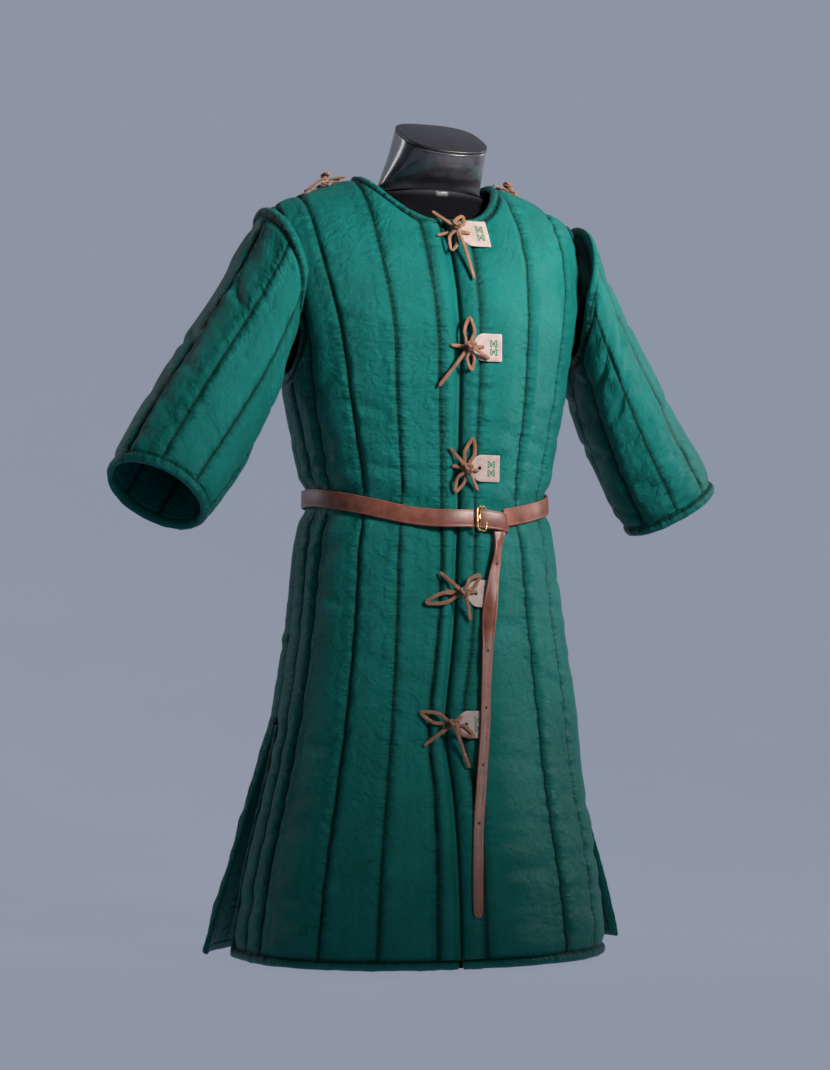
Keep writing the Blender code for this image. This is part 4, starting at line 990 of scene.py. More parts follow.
def back_stops(level):
    """Angles of the back's side edge and stitch lines at a level, up to the middle."""
    edge = slit_edge(level, True)
    first = max(BACK_LINES[0], edge + 5.0) if level < ARM_ROW - 0.06 else BACK_LINES[0]
    first += (180.0 - ARM_ANGLE - first) * min(max((level - 0.55) / 0.2, 0.0), 1.0)
    inner = 162.0 + (180.0 - NECK_ANGLE - 162.0) * min(max((level - 0.6) / 0.3, 0.0), 1.0)
    return [edge, first, BACK_LINES[1], BACK_LINES[2], inner, 180.0]


def crease_field(angles, levels, creases, radius):
    """Depth of the listed creases at each place on the cloth, in millimetres."""
    total = np.zeros(angles.shape)
    for a0, z0, a1, z1, wide, deep in creases:
        x0, x1 = math.radians(a0) * radius, math.radians(a1) * radius
        u = np.radians(angles) * radius - x0
        v = levels - z0
        du, dv = x1 - x0, z1 - z0
        size = math.hypot(du, dv)
        t = np.clip((u * du + v * dv) / size ** 2, 0.0, 1.0)
        bend = 0.10 * size * np.sin(math.pi * t)
        off = (u * -dv + v * du) / size - bend
        past = np.hypot(u - t * du, v - t * dv)
        gap = np.where((t > 0.0) & (t < 1.0), np.abs(off), past)
        fade = np.sin(math.pi * np.clip(t, 0.06, 0.94)) ** 0.7
        near = gap / (wide * MM)
        ridge = np.exp(-(off / (wide * MM) - 1.5) ** 2 - (past / (2.6 * wide * MM)) ** 2)
        total += deep * fade * (0.55 * ridge - np.exp(-near ** 2))
    return total


def pad_profile(t, width):
    """Height of the padding across one channel, 0 at its stitch lines and 1 at its crest."""
    round_off = np.clip(width / 0.045, 0.75, 1.5)
    return (1.0 - np.abs(2 * t - 1) ** (2.3 * round_off)) ** 0.80


def pressed(points):
    """Share of the padding left where the tabs press on the cloth."""
    share = np.ones(points.shape[:2])
    for _, height, *_ in TIES:
        x = closure_x(height)
        u = (points[..., 0] - x) / MM
        v = (points[..., 2] - height) / MM
        front = points[..., 1] < 0
        side = np.clip((u - 3.0) / 5.0, 0, 1) * np.clip((52.0 - u) / 6.0, 0, 1)
        tall = np.clip((23.0 - np.abs(v)) / 6.0, 0, 1)
        share -= np.where(front, 0.55 * side * tall, 0.0)
    return np.clip(share, 0.0, 1.0)


def body_wall(name, columns, back, drop_above, mat, seed):
    """One body panel from its columns: closed wall, stitch map and cloth map."""
    rows = LAST_ROW + 1
    count = len(columns)
    inner = np.zeros((count, rows, 3))
    normal = np.zeros((count, rows, 3))
    angles, levels = np.zeros((count, rows)), np.zeros((count, rows))
    width, part = np.zeros((count, rows)), np.zeros((count, rows))
    fixed, sink = np.full((count, rows), -1.0), np.zeros((count, rows))
    for j in range(rows):
        level = level_of(150.0 if back else 40.0, j, back)
        for i, rule in enumerate(columns):
            here = level
            for _ in range(2):
                angle, t, span, deep, low = rule(here)
                here = level_of(angle, j, back)
            angles[i, j], levels[i, j], part[i, j] = angle, here, t
            width[i, j] = math.radians(span) * GIRTH
            fixed[i, j], sink[i, j] = deep, low
            inner[i, j] = inside(angle, here, back)
            normal[i, j] = outward(angle, here, back)
    pads = pad_profile(part, width)
    dip = np.array([[belt_height(a) for a in row] for row in angles])
    off = (levels - dip) / 0.021
    pads *= 1.0 - 0.98 * np.exp(-0.75 * off ** 4)
    pads *= pressed(inner)
    top = np.where(drop_above[:, None], ARM, LAST_ROW)
    from_hem = levels - levels[:, :1]
    from_top = (top - np.arange(rows)[None, :]) * ROW_STEP
    fade = 0.12 + 0.88 * eased(np.clip(np.minimum(from_hem, from_top) / EDGE_FADE, 0.0, 1.0))
    u = np.radians(angles) * GIRTH
    waves = ripple(u / 0.020, levels / 0.030, seed) * 0.95 + ripple(u / 0.050, levels / 0.09, seed + 5) * 0.9
    stitch_gap = np.minimum(part, 1.0 - part) * width
    pucker = ripple(u / 0.016, levels / 0.0044, seed + 9, 9) * np.exp(-(stitch_gap / 0.013) ** 2) * 1.25
    rumple = ripple(u / 0.024, levels / 0.0046, seed + 13, 9) * np.clip(
        0.4 + ripple(u / 0.05, levels / 0.05, seed + 17), 0.0, 1.2)
    crease = crease_field(angles, levels, CREASES, GIRTH)
    rows_fade = np.clip(stitch_gap / 0.006, 0.0, 1.0)
    depth = STITCH_DEPTH + (CREST_DEPTH - STITCH_DEPTH) * pads * fade
    lean = 0.35
    a, b = u * math.cos(lean) + levels * math.sin(lean), levels * math.cos(lean) - u * math.sin(lean)
    thin = crinkle(a, b, seed + 21, 0.045, 0.013)
    thin *= np.clip(ripple(u / 0.04, levels / 0.07, seed + 31), 0.0, 1.0)
    depth += (1.3 * waves * pads + 2.2 * crease * (0.35 + 0.65 * rows_fade) * pads ** 0.5 + pucker * fade
              + 1.35 * rumple * pads ** 0.5 - 1.8 * thin * (0.3 + 0.7 * pads)) * fade
    depth = np.where(fixed >= 0.0, fixed + waves * 0.3 * (fixed > 5.0) * fade, depth)
    depth = np.maximum(depth, 2.6)
    foot = inner - normal * sink[..., None] * MM
    outer = foot + normal * depth[..., None] * MM
    keep = np.ones((count - 1, rows - 1), dtype=bool)
    closed_off = drop_above[:-1] | drop_above[1:]
    keep[closed_off, ARM:] = False
    line = np.stack([stitch_gap, levels], axis=-1)
    run = np.concatenate([np.zeros((1, rows)), np.cumsum(np.linalg.norm(np.diff(outer, axis=0), axis=2), 0)])
    climb = np.cumsum(np.linalg.norm(np.diff(inner, axis=1), axis=2), 1)
    rise = np.concatenate([np.zeros((count, 1)), climb], axis=1)
    cloth = np.stack([run, rise], axis=-1)
    obj = grid_shell(name, outer, foot, keep, mat, {"line": line, "cloth": cloth})
    cells = np.linalg.norm(np.cross(outer[1:, :-1] - outer[:-1, :-1], outer[:-1, 1:] - outer[:-1, :-1]), axis=2)
    flat_size = (float(run[-1, :ARM].max()), float(rise[:, -1].max()))
    return obj, (angles, levels), flat_size, float(cells[keep].sum())


def front_columns(side):
    """Column rules of one front: angle, place in its channel, channel width, fixed depth and sink."""
    table = LAP_RIGHT if side < 0 else LAP_LEFT
    steps = (0, 1, 2, 2.5, 3, 3.5, 4, 4.5, 5, 5.3, 5.6, 5.85) if side < 0 else (
        0, 0.5, 1, 1.5, 2, 2.5, 3, 3.3, 3.6, 3.85)
    rules = []
    for step in steps:
        def lap(level, step=step):
            swing = read(CLOSURE, level, 1)
            first = side * front_stops(side, level)[0]
            if side < 0 and step > 5:
                angle = (table[5][1] - swing) + (first - table[5][1] + swing) * (step - 5)
            else:
                angle = read(table, step, 1) - swing
            deep = read(table, step, 3)
            place = 1.0 - abs(angle - first) / LAP_SPAN
            return angle, place, LAP_SPAN, deep, max(read(table, step, 2), 0.0)
        rules.append(lap)
    for channel in range(5):
        for t in ACROSS:
            def quilted(level, channel=channel, t=t):
                stops = front_stops(side, level)
                span = stops[channel + 1] - stops[channel]
                return side * (stops[channel] + span * t), t, span, -1.0, 0.0
            rules.append(quilted)
    rules.append(lambda level: (side * front_stops(side, level)[5], 1.0, 9.0, -1.0, 0.0))
    return rules, len(steps)


def back_columns():
    """Column rules of the back, from the right side round to the left side."""
    rules, in_arm = [], []
    halves = [(channel, t) for channel in range(5) for t in ACROSS]
    order = [(channel, t, -1) for channel, t in halves] + [(4, 1.0, -1)]
    order += [(channel, t, 1) for channel, t in reversed(halves)]
    for channel, t, sign in order:
        def quilted(level, channel=channel, t=t, sign=sign):
            stops = back_stops(level)
            span = stops[channel + 1] - stops[channel]
            whole = 2 if channel == 4 else 1
            return sign * (stops[channel] + span * t), t / whole, span * whole, -1.0, 0.0
        rules.append(quilted)
        in_arm.append(channel == 0)
    return rules, in_arm


def edge_run(grid, keys, back=False):
    """Inside points and directions along a run of a panel's edge."""
    angles, levels = grid
    path = [inside(angles[k], levels[k], back) for k in keys]
    normals = [outward(angles[k], levels[k], back) for k in keys]
    return path, normals


def thin_run(path, normals, least):
    """The same run with its points no closer than a least distance."""
    keep = [0]
    for k in range(1, len(path) - 1):
        if (path[k] - path[keep[-1]]).length >= least:
            keep.append(k)
    keep.append(len(path) - 1)
    return [path[k] for k in keep], [normals[k] for k in keep]


def bind(name, path, normals, closed, flip, seed, node, step=0.004, section=BIND_SECTION):
    """One bound edge with its small gathers."""
    path, normals = thin_run(path, normals, step)
    obj = sweep(name, path, normals, section, closed, BINDING, flip, 0.30, seed)
    return finish_piece(obj, "binding", node)


def make_body():
    """The two fronts, the back and their bound edges."""
    panels = {}
    for side, label in ((-1, "right"), (1, "left")):
        rules, lap = front_columns(side)
        drop = np.zeros(len(rules), dtype=bool)
        arm_column = lap + 3 * len(ACROSS)
        drop[arm_column + 1:] = True
        obj, grid, size, area = body_wall("quilted_front_" + label, rules, False, drop, CLOTH, 11 + side)
        finish_piece(obj, "quilted_cotton", "front_" + label)
        panels[label] = (obj, size, area, grid, lap, arm_column, len(rules) - 1)
    rules, in_arm = back_columns()
    back, back_grid, back_size, back_area = body_wall("quilted_back", rules, True, np.array(in_arm), CLOTH, 23)
    finish_piece(back, "quilted_cotton", "back")
    total = len(rules)
    slit = int(np.searchsorted(LOW, SLIT_END))
    for label, flip in (("right", 1), ("left", -1)):
        grid, lap, arm_column, end = panels[label][3:]
        first = lap - LAP_HIDDEN if label == "right" else 0
        keys = [(end, j) for j in range(slit, -1, -1)] + [(i, 0) for i in range(end - 1, first - 1, -1)]
        path, normals = edge_run(grid, keys)
        bind("edge_binding_front_" + label, path, normals, False, -flip, 71 + flip,
                           "binding_front_" + label)
    keys = [(0, j) for j in range(slit, -1, -1)] + [(i, 0) for i in range(1, total - 1)]
    keys += [(total - 1, j) for j in range(0, slit + 1)]
    path, normals = edge_run(back_grid, keys, True)
    bind("edge_binding_back", path, normals, False, 1, 74, "binding_back")
    grid, lap = panels["right"][3:5]
    path, normals = edge_run(grid, [(i, LAST_ROW) for i in range(lap - LAP_HIDDEN, lap + len(ACROSS) + 1)])
    middle = [i for i in range(total)
              if not in_arm[i] and abs(180 - abs(back_grid[0][i, LAST_ROW])) < NECK_ANGLE - 0.3]
    a, b = edge_run(back_grid, [(i, LAST_ROW) for i in middle], True)
    path, normals = path + a, normals + b
    grid, lap = panels["left"][3:5]
    a, b = edge_run(grid, [(i, LAST_ROW) for i in range(lap + len(ACROSS), -1, -1)])
    neck = bind("neck_edge_binding", path + a, normals + b, False, -1, 75, "binding_neck")
    for label, sign in (("right", -1), ("left", 1)):
        grid, _, arm_column, end = panels[label][3:]
        keys = [(arm_column, j) for j in range(LAST_ROW, ARM - 1, -1)]
        keys += [(i, ARM) for i in range(arm_column + 1, end)]
        path, normals = edge_run(grid, keys)
        cols = range(1, len(ACROSS) + 1) if sign < 0 else range(total - 2, total - 2 - len(ACROSS), -1)
        keys = [(i, ARM) for i in cols] + [(cols[-1], j) for j in range(ARM + 1, LAST_ROW)]
        a, b = edge_run(back_grid, keys, True)
        bind("armhole_edge_" + label, path + a, normals + b, True, sign, 77 + sign,
                            "binding_armhole_" + label, 0.0042)


# The head's table, carried on past both of its ends
HEAD_RING = tuple((row[0] + turn,) + row[1:] for turn in (-360, 0, 360) for row in SLEEVE_HEAD
                  if -90 < row[0] + turn < 450)


def sleeve_point(side, around, along):
    """Point on a sleeve's inside: clock angle from the top to the front, 0 head to 1 cuff."""
    sign, centre, facing, lead, above, below = SLEEVES[side]
    clock = around % 360.0
    head = Vector((sign * read(HEAD_RING, clock, 1), read(HEAD_RING, clock, 2), read(HEAD_RING, clock, 3)))
    down = Vector(facing).normalized()
    front = Vector((0.0, -1.0, 0.0))
    front = (front - down * front.dot(down)).normalized()
    upper = front.cross(down).normalized()
    if upper.z < 0:
        upper = -upper
    turn = math.radians(clock)
    spoke = upper * math.cos(turn) + front * math.sin(turn)
    cuff = Vector(centre) + spoke * CUFF_RADIUS - down * 0.013
    length = (cuff - head).length
    t = along
    out = (head * (1 + 2 * t) * (1 - t) ** 2 + cuff * t * t * (3 - 2 * t)
           + Vector(lead).normalized() * length * 0.8 * t * (1 - t) ** 2
           - down * length * 0.9 * t * t * (1 - t))
    swell = above + (below - above) * (1 - math.cos(turn)) / 2
    return out + spoke * swell * math.sin(math.pi * t)


def make_sleeve(side):
    """One quilted sleeve with its bound head and cuff."""
    around = []
    for k in range(SLEEVE_SPLITS):
        around += [(18.0 + (k + t) * 360.0 / SLEEVE_SPLITS, t) for t in ACROSS]
    count, rows = len(around), SLEEVE_ROWS
    inner = np.zeros((count, rows, 3))
    for i, (clock, _) in enumerate(around):
        for j in range(rows):
            inner[i, j] = sleeve_point(side, clock, j / (rows - 1))
    turn = np.roll(inner, -1, 0) - np.roll(inner, 1, 0)
    run = np.gradient(inner, axis=1)
    normal = np.cross(turn, run)
    normal /= np.linalg.norm(normal, axis=2, keepdims=True)
    spokes = inner - inner.mean(axis=0, keepdims=True)
    if (normal * spokes).sum() < 0:
        normal = -normal
    part = np.array([t for _, t in around])[:, None] * np.ones((1, rows))
    clock = np.array([c for c, _ in around])[:, None] * np.ones((1, rows))
    along = np.linspace(0, 1, rows)[None, :] * np.ones((count, 1))
    size = np.linalg.norm(turn, axis=2).sum(axis=0) / 2 / SLEEVE_SPLITS
    width = np.ones((count, 1)) * size[None, :]
    length = float(np.linalg.norm(np.diff(inner, axis=1), axis=2).sum(axis=1).mean())
    pads = pad_profile(part, width)
    fade = 0.12 + 0.88 * eased(np.clip(np.minimum(along, 1 - along) * length / EDGE_FADE, 0.0, 1.0))
    seed = 101 if side == "right" else 131
    u = np.radians(clock) * SLEEVE_GIRTH
    v = along * length
    waves = ripple(u / 0.013, v / 0.019, seed) * 1.1 + ripple(u / 0.035, v / 0.06, seed + 3) * 1.0
    gap = np.minimum(part, 1 - part) * width
    pucker = ripple(u / 0.012, v / 0.0036, seed + 7, 9) * np.exp(-(gap / 0.010) ** 2) * 0.45
    creases = [(a, b * length, c, d * length, e, f) for a, b, c, d, e, f in SLEEVE_CREASES]
    turned = clock + (0.0 if side == "right" else 9.0)
    crease = sum(crease_field(turned + shift, v, creases, SLEEVE_GIRTH) for shift in (-360.0, 0.0))
    depth = SLEEVE_STITCH + (SLEEVE_CREST - SLEEVE_STITCH) * pads * fade
    rows_fade = np.clip(gap / 0.006, 0.0, 1.0)
    lean = 0.9 if side == "right" else -0.7
    a, b = u * math.cos(lean) + v * math.sin(lean), v * math.cos(lean) - u * math.sin(lean)
    thin = crinkle(a, b, seed + 21, 0.040, 0.010) + 0.7 * crinkle(a, -b, seed + 27, 0.016, 0.026)
    thin *= np.clip(0.5 + ripple(u / 0.03, v / 0.05, seed + 31), 0.0, 1.0)
    depth += (1.5 * waves * pads + 2.6 * crease * (0.4 + 0.6 * rows_fade) * pads ** 0.5 + 2.2 * pucker
              - 3.2 * thin * (0.3 + 0.7 * pads)) * fade
    depth = np.maximum(depth, 2.2)
    outer = inner + normal * depth[..., None] * MM
    ring = np.concatenate([np.zeros((1, rows)), np.cumsum(np.linalg.norm(np.diff(outer, axis=0), axis=2), 0)])
    maps = {"line": np.stack([gap, v], axis=-1), "cloth": np.stack([ring, v], axis=-1)}
    keep = np.ones((count, rows - 1), dtype=bool)
    obj = grid_shell("quilted_sleeve_" + side, outer, inner, keep, CLOTH, maps, wrap=True)
    finish_piece(obj, "quilted_cotton", "sleeve_" + side)
    for end, name, node in ((0, "sleeve_head_edge_", "sleeve_head_binding_"),
                            (-1, "cuff_edge_", "cuff_binding_")):
        path = [Vector(p) for p in inner[:, end]]
        normals = [Vector(p) for p in normal[:, end]]
        path, normals = thin_run(path, normals, 0.0045)
        away = normals[0].cross(path[1] - path[0])
        step = Vector(inner[0, 1] - inner[0, 0]) if end == 0 else Vector(inner[0, -2] - inner[0, -1])
        wide = HEAD_BIND_WIDER if end == 0 else CUFF_BIND_WIDER
        section = [(s * wide, h - 0.2) for s, h in BIND_SECTION]
        edge = sweep(name + side, path, normals, section, True, BINDING, -1 if away.dot(step) > 0 else 1,
                     0.34, seed + 11 + end)
        finish_piece(edge, "binding", node + side)
    wide = float(ring[-1].max())


# Leather

def tab_out(side):
    """Distance out from the cloth's inside to a tab's underside, in millimetres."""
    return 8.6 + 0.09 * max(side - 34.0, 0.0)


def tab_outline():
    """Outline of a tab: round nose, straight sides and square sewn end, in millimetres."""
    points = []
    shoulder = TAB_START + TAB_NOSE
    end = TAB_END - TAB_CORNER
    for k in range(25):
        turn = math.pi * (0.5 + k / 24)
        points.append((shoulder + TAB_NOSE * math.cos(turn), TAB_HALF * math.sin(turn)))
    sides = [shoulder + (TAB_END - shoulder) * k / 9 for k in range(1, 9)]
    points += [(x, -TAB_HALF) for x in sides]
    for k in range(5):
        turn = math.pi / 2 * (k / 4 - 1)
        points.append((end + TAB_CORNER * math.cos(turn), TAB_CORNER * (1 + math.sin(turn)) - TAB_HALF))
    points += [(TAB_END, z) for z in (-10.0, -5.0, 0.0, 5.0, 10.0)]
    for k in range(5):
        turn = math.pi / 2 * k / 4
        points.append((end + TAB_CORNER * math.cos(turn), TAB_HALF - TAB_CORNER * (1 - math.sin(turn))))
    return points + [(x, TAB_HALF) for x in reversed(sides)]


def make_tab(label, height):
    """A leather tab with a round nose, a punched hole and a crossed box of green thread."""
    outline = tab_outline()
    hole_x, hole_r = TAB_HOLE
    x0 = closure_x(height)
    rings = []
    for share, out in ((0.0, 0.3), (0.0, 0.9), (0.03, 1.0), (0.25, 1.0), (0.5, 1.0), (0.75, 1.0), (0.93, 1.0),
                       (0.985, 0.9), (1.0, 0.62), (1.0, 0.3), (0.985, 0.08), (0.93, 0.0), (0.5, 0.0),
                       (0.03, 0.0)):
        ring = []
        for x, z in outline:
            turn = math.atan2(z, x - hole_x)
            a, b = hole_x + hole_r * math.cos(turn), hole_r * math.sin(turn)
            px, pz = a + (x - a) * share, b + (z - b) * share
            curl = 0.5 * max(0.0, (13.0 - px) / 6.0) ** 2
            ring.append(front_place(px * MM + x0, height + pz * MM, tab_out(px) + TAB_THICK * out + curl))
        rings.append(ring)
    verts = [p for ring in rings for p in ring]
    faces = skin(len(outline), len(rings), True)
    obj = make_object("leather_tab_" + label, verts, faces, TAB, sharp=50)
    finish_piece(obj, "tab_leather", "tab_" + label)
    strands = []
    left, right, tall = 30.5, 38.5, 9.6
    runs = [((left, -tall), (left, -0.7)), ((left, -0.7), (right, -tall)), ((right, -tall), (right, -0.7)),
            ((left, 0.7), (left, tall)), ((left, tall), (right, 0.7)), ((right, 0.7), (right, tall)),
            ((left, -tall), (right, -0.7)), ((left, 0.7), (right, tall))]
    for (xa, za), (xb, zb) in runs:
        length = math.hypot(xb - xa, zb - za)
        count = max(int(round(length / 3.4)), 1)
        for k in range(count):
            s, e = (k + 0.10) / count, (k + 0.90) / count
            strands.append(((xa + (xb - xa) * s, za + (zb - za) * s), (xa + (xb - xa) * e, za + (zb - za) * e)))
    verts, faces = [], []
    for a, b in strands:
        add_stitch(verts, faces, a, b, x0, height)
    thread = make_object("tab_stitching_" + label, verts, faces, THREAD)
    finish_piece(thread, "quilted_cotton")


def add_stitch(verts, faces, a, b, x0, height):
    """One thread stitch on a tab, dipping into the leather at both ends."""
    run = Vector((b[0] - a[0], b[1] - a[1], 0.0)).normalized()
    side = Vector((-run.y, run.x, 0.0))
    start = len(verts)
    for share, up in ((0.0, -0.25), (0.2, 0.18), (0.5, 0.28), (0.8, 0.18), (1.0, -0.25)):
        x, z = a[0] + (b[0] - a[0]) * share, a[1] + (b[1] - a[1]) * share
        for m in range(6):
            turn = 2 * math.pi * m / 6
            wide = 0.85 * math.cos(turn)
            px, pz = x + side.x * wide, z + side.y * wide
            out = tab_out(px) + TAB_THICK + up + 0.42 * math.sin(turn)
            verts.append(front_place(px * MM + x0, height + pz * MM, out))
    faces += skin(6, 5, start=start)


def make_shoulder_strap(side, sign):
    """Leather strap across a shoulder seam."""
    rings = []
    for s in [k / 30 for k in range(31)]:
        across = 108.0 + 57.0 * s
        half = 8.4 * (1.0 - 0.55 * max(0.0, 1 - s / 0.10) ** 2 - 0.55 * max(0.0, (s - 0.90) / 0.10) ** 2)
        ring = [(-half, 0.3), (-half, TAB_THICK - 0.5), (-half + 0.7, TAB_THICK)]
        ring += [(half * k / 3, TAB_THICK) for k in (-2, -1, 0, 1, 2)]
        ring += [(half - 0.7, TAB_THICK), (half, TAB_THICK - 0.5), (half, 0.3), (half - 0.7, 0.0), (0.0, 0.0),
                 (-half + 0.7, 0.0)]
        rings.append([shoulder_place(across, along, STRAP_OUT + out, sign) for along, out in ring])
    verts = [p for ring in rings for p in ring]
    faces = skin(len(rings[0]), len(rings))
    obj = make_object("leather_shoulder_strap_" + side, verts, faces, PATCH, sharp=50)
    finish_piece(obj, "tab_leather", "shoulder_strap_" + side)


def belt_section(tall, thick):
    """Section of the belt with rounded, burnished edges and creased lines inside them."""
    return [(-tall, 0.7), (-tall, thick - 0.7), (-tall + 0.7, thick - 0.05), (-tall + 1.9, thick),
            (-tall + 2.5, thick - 0.22), (-tall + 3.1, thick), (0.0, thick + 0.12), (tall - 3.1, thick),
            (tall - 2.5, thick - 0.22), (tall - 1.9, thick), (tall - 0.7, thick - 0.05),
            (tall, thick - 0.7), (tall, 0.7), (tall - 0.7, 0.0), (-tall + 0.7, 0.0)]


def make_belt():
    """Strap, brass ring, wrapping loop and hanging tail."""
    angles = [3.2 - k for k in range(20)] + [-17.0 - k * 2.0 for k in range(161)] + [-342.6]
    path, normals = [], []
    for a in angles:
        near = math.exp(-(((a + 180) % 360 - 179.0) / 13.0) ** 2)
        level = belt_height(a) + 0.0007 * math.sin(a * 0.11)
        path.append(inside(a, level) + outward(a, level) * (7.0 + 10.4 * near) * MM)
        normals.append(outward(a, level))
    section = belt_section(BELT_TALL / MM / 2, BELT_THICK / MM)
    strap = sweep("leather_belt", path, normals, section, False, BELT, sharp=55)
    finish_piece(strap, "belt_leather", "belt_strap")
    centre = front_place(0.0175, belt_height(0) - 0.0006, 17.7)
    out = outward(3.0, belt_height(3.0))
    right = Vector((1.0, 0.0, 0.0))
    up = out.cross(right).normalized()
    make_ring(centre, out, right, up)
    make_loop()
    make_tail()


def make_ring(centre, out, right, up):
    """Brass ring with a bar."""
    verts, around, tube = [], 72, 14
    for a in range(around):
        turn = 2 * math.pi * a / around
        aside = power(math.cos(turn), 0.5) * 0.0080
        spoke = right * aside + up * power(math.sin(turn), 0.5) * 0.0150 - out * aside * 0.5
        ray = (right * math.cos(turn) + up * math.sin(turn)).normalized()
        for t in range(tube):
            tilt = 2 * math.pi * t / tube
            verts.append(centre + out * 0.0020 + spoke + ray * math.cos(tilt) * 0.0015
                         + out * math.sin(tilt) * 0.0015)
    faces = skin(tube, around, True)
    start = len(verts)
    for rise in (-0.0150, 0.0150):
        for t in range(tube):
            tilt = 2 * math.pi * t / tube
            verts.append(centre - right * 0.0036 + out * 0.0041 + up * rise + right * math.cos(tilt) * 0.0012
                         + out * math.sin(tilt) * 0.0012)
    faces += skin(tube, 2, start=start)
    obj = make_object("brass_ring", verts, faces, BRASS)
    finish_piece(obj, "brass", "buckle_ring")


def strap_along(name, places, tall_of, mat, nodes):
    """A strap with burnished edges along places given as point, out and up directions."""
    verts, uv = [], []
    for k, (point, out, up) in enumerate(places):
        section = belt_section(tall_of(k / (len(places) - 1)), BELT_THICK / MM)
        for s, h in section:
            verts.append(point + up * s * MM + out * h * MM)
            uv.append((s * MM, k * 0.001))
    faces = skin(len(section), len(places))
    obj = make_object(name, verts, faces, mat, {"cloth": uv}, sharp=55)
    return finish_piece(obj, "belt_leather", *nodes)


def make_loop():
    """The part of the strap that wraps over the ring and round itself."""
    places = []
    for k in range(41):
        s = k / 40
        x = 0.0175 + 0.0345 * math.sin(math.pi / 2 * min(s / 0.86, 1.0)) - 0.004 * max(s - 0.86, 0.0) / 0.14
        z = belt_height(5) + 0.0006 - 0.0085 * s
        rise = math.sin(math.pi * min(s * 1.02, 1.0)) ** 0.55
        point = front_place(x, z, 12.2 + 5.4 * rise)
        before = front_place(x - 0.001, z, 12.2 + 5.4 * rise)
        slope = math.cos(math.pi * min(s * 1.02, 1.0))
        run = (point - before).normalized()
        flat_out = outward(10.0, z)
        out = (flat_out - run * 0.9 * slope).normalized()
        places.append((point, out, Vector((0.0, 0.0, 1.0))))
    strap_along("belt_wrap", places, lambda s: 12.2 - 0.8 * math.sin(math.pi * s), BELT, ["belt_knot"])


def make_tail():
    """The free end hanging from the wrap, with its punched holes, drawn as discs of painted shade, and slight
    twist.
    """
    table = TAIL[::-1]
    places, halves = [], []
    low, high = TAIL[-1][0], TAIL[0][0]
    for k in range(TAIL_STEPS + 1):
        z = high + (low - high) * k / TAIL_STEPS
        x, half, out = (read(table, z, c) for c in (1, 2, 3))
        point = front_place(x * MM, z, out)
        twist = 0.55 * math.exp(-((z - 0.497) / 0.016) ** 2) - 0.5 * math.exp(-((z - 0.415) / 0.030) ** 2)
        face = outward(math.degrees(math.asin(min(x * MM / 0.16, 1.0))), z)
        side = Vector((1.0, 0.0, 0.0)) * math.cos(twist) - face * math.sin(twist)
        face = (face * math.cos(twist) + Vector((1.0, 0.0, 0.0)) * math.sin(twist)).normalized()
        places.append((point, face, side))
        halves.append(half / max(math.cos(twist), 0.8))

    def half_of(share):
        half = halves[int(round(share * TAIL_STEPS))]
        tip = max(0.0, (share - 0.985) / 0.015)
        return half * math.sqrt(max(1.0 - 0.75 * tip * tip, 0.05))

    strap_along("belt_hanging_tail", places, half_of, BELT, ["belt_tail"])
    # Each punched hole is a near black disc laid on the strap: painted shade where the hole is
    verts, faces = [], []
    for z in TAIL_HOLES:
        k = int(round((high - z) / (high - low) * TAIL_STEPS))
        point, face, side = places[k]
        up = face.cross(side).normalized()
        start = len(verts)
        for radius, rise in ((1.9, 0.13), (1.9, 0.30), (1.5, 0.18)):
            for m in range(18):
                turn = 2 * math.pi * m / 18
                verts.append(point + face * (BELT_THICK + rise * MM)
                             + (side * math.cos(turn) * 0.8 + up * math.sin(turn) * 1.1) * radius * MM)
        faces += skin(18, 3, start=start)
    holes = make_object("belt_holes", verts, faces, HOLE_SHADE)
    finish_piece(holes, "belt_leather")


# Dress form

def section_ring(height, gap, gap_front, count):
    """Plan ring of the form at a height, drawn in from the cloth's inside by a gap."""
    half = read(SECTION, height, 1)
    if height > CHEST:
        lo, hi = 0.0, 0.215
        for _ in range(30):
            mid = (lo + hi) / 2
            if read(SHOULDER_LINE, mid, 1) > height + SHOULDER_GAP:
                lo = mid
            else:
                hi = mid
        half = min(half - gap, lo)
    else:
        half -= gap
    ring = []
    for k in range(count):
        turn = 2 * math.pi * k / count
        x = half * power(math.sin(turn), FULLNESS)
        front = math.cos(turn) > 0
        inset = gap_front if front else gap
        if height <= CHEST:
            depth = read(SECTION, height, 2 if front else 3) - inset
            y = -depth * power(math.cos(turn), FULLNESS)
        else:
            angle = angle_at(abs(x), height)
            reach = plan(angle if front else 180 - angle, CHEST, not front)[1]
            reach -= math.copysign(inset, reach) if abs(reach) > inset else reach
            top = read(SHOULDER_LINE, abs(x), 1) - SHOULDER_GAP
            part = min(max((height - CHEST) / (top - CHEST), 0.0), 1.0)
            fall = math.cos(math.asin(part ** (1 / SHOULDER_BOW))) ** SHOULDER_BOW
            fall *= read(NECK_DRAW, height, 1 if front else 2)
            y = RIDGE_Y + (reach - RIDGE_Y) * fall
            if abs(math.sin(turn)) > 0.999:
                y = RIDGE_Y
            elif front and height > 0.92 and abs(x) < 0.074:
                y = min(y, -0.010 - 0.042 * math.sqrt(1 - (x / 0.074) ** 2))
        ring.append(Vector((x, y, height)))
    return ring


def neck_ring(row, share, count):
    """Tilted ring of the neck; towards the top its back grows flatter and its sides squarer."""
    z, wide, deep, centre, lean = row
    tilt = math.radians(lean)
    along = Vector((0, -math.cos(tilt), -math.sin(tilt)))
    ring = []
    for k in range(count):
        turn = 2 * math.pi * k / count
        back = 1.0 - 0.45 * share if math.cos(turn) < 0 else 1.0 - 0.08 * share
        side = wide * power(math.sin(turn), 1.0 - 0.25 * share)
        ring.append(Vector((side, centre, z)) + along * deep * power(math.cos(turn), back))
    return ring


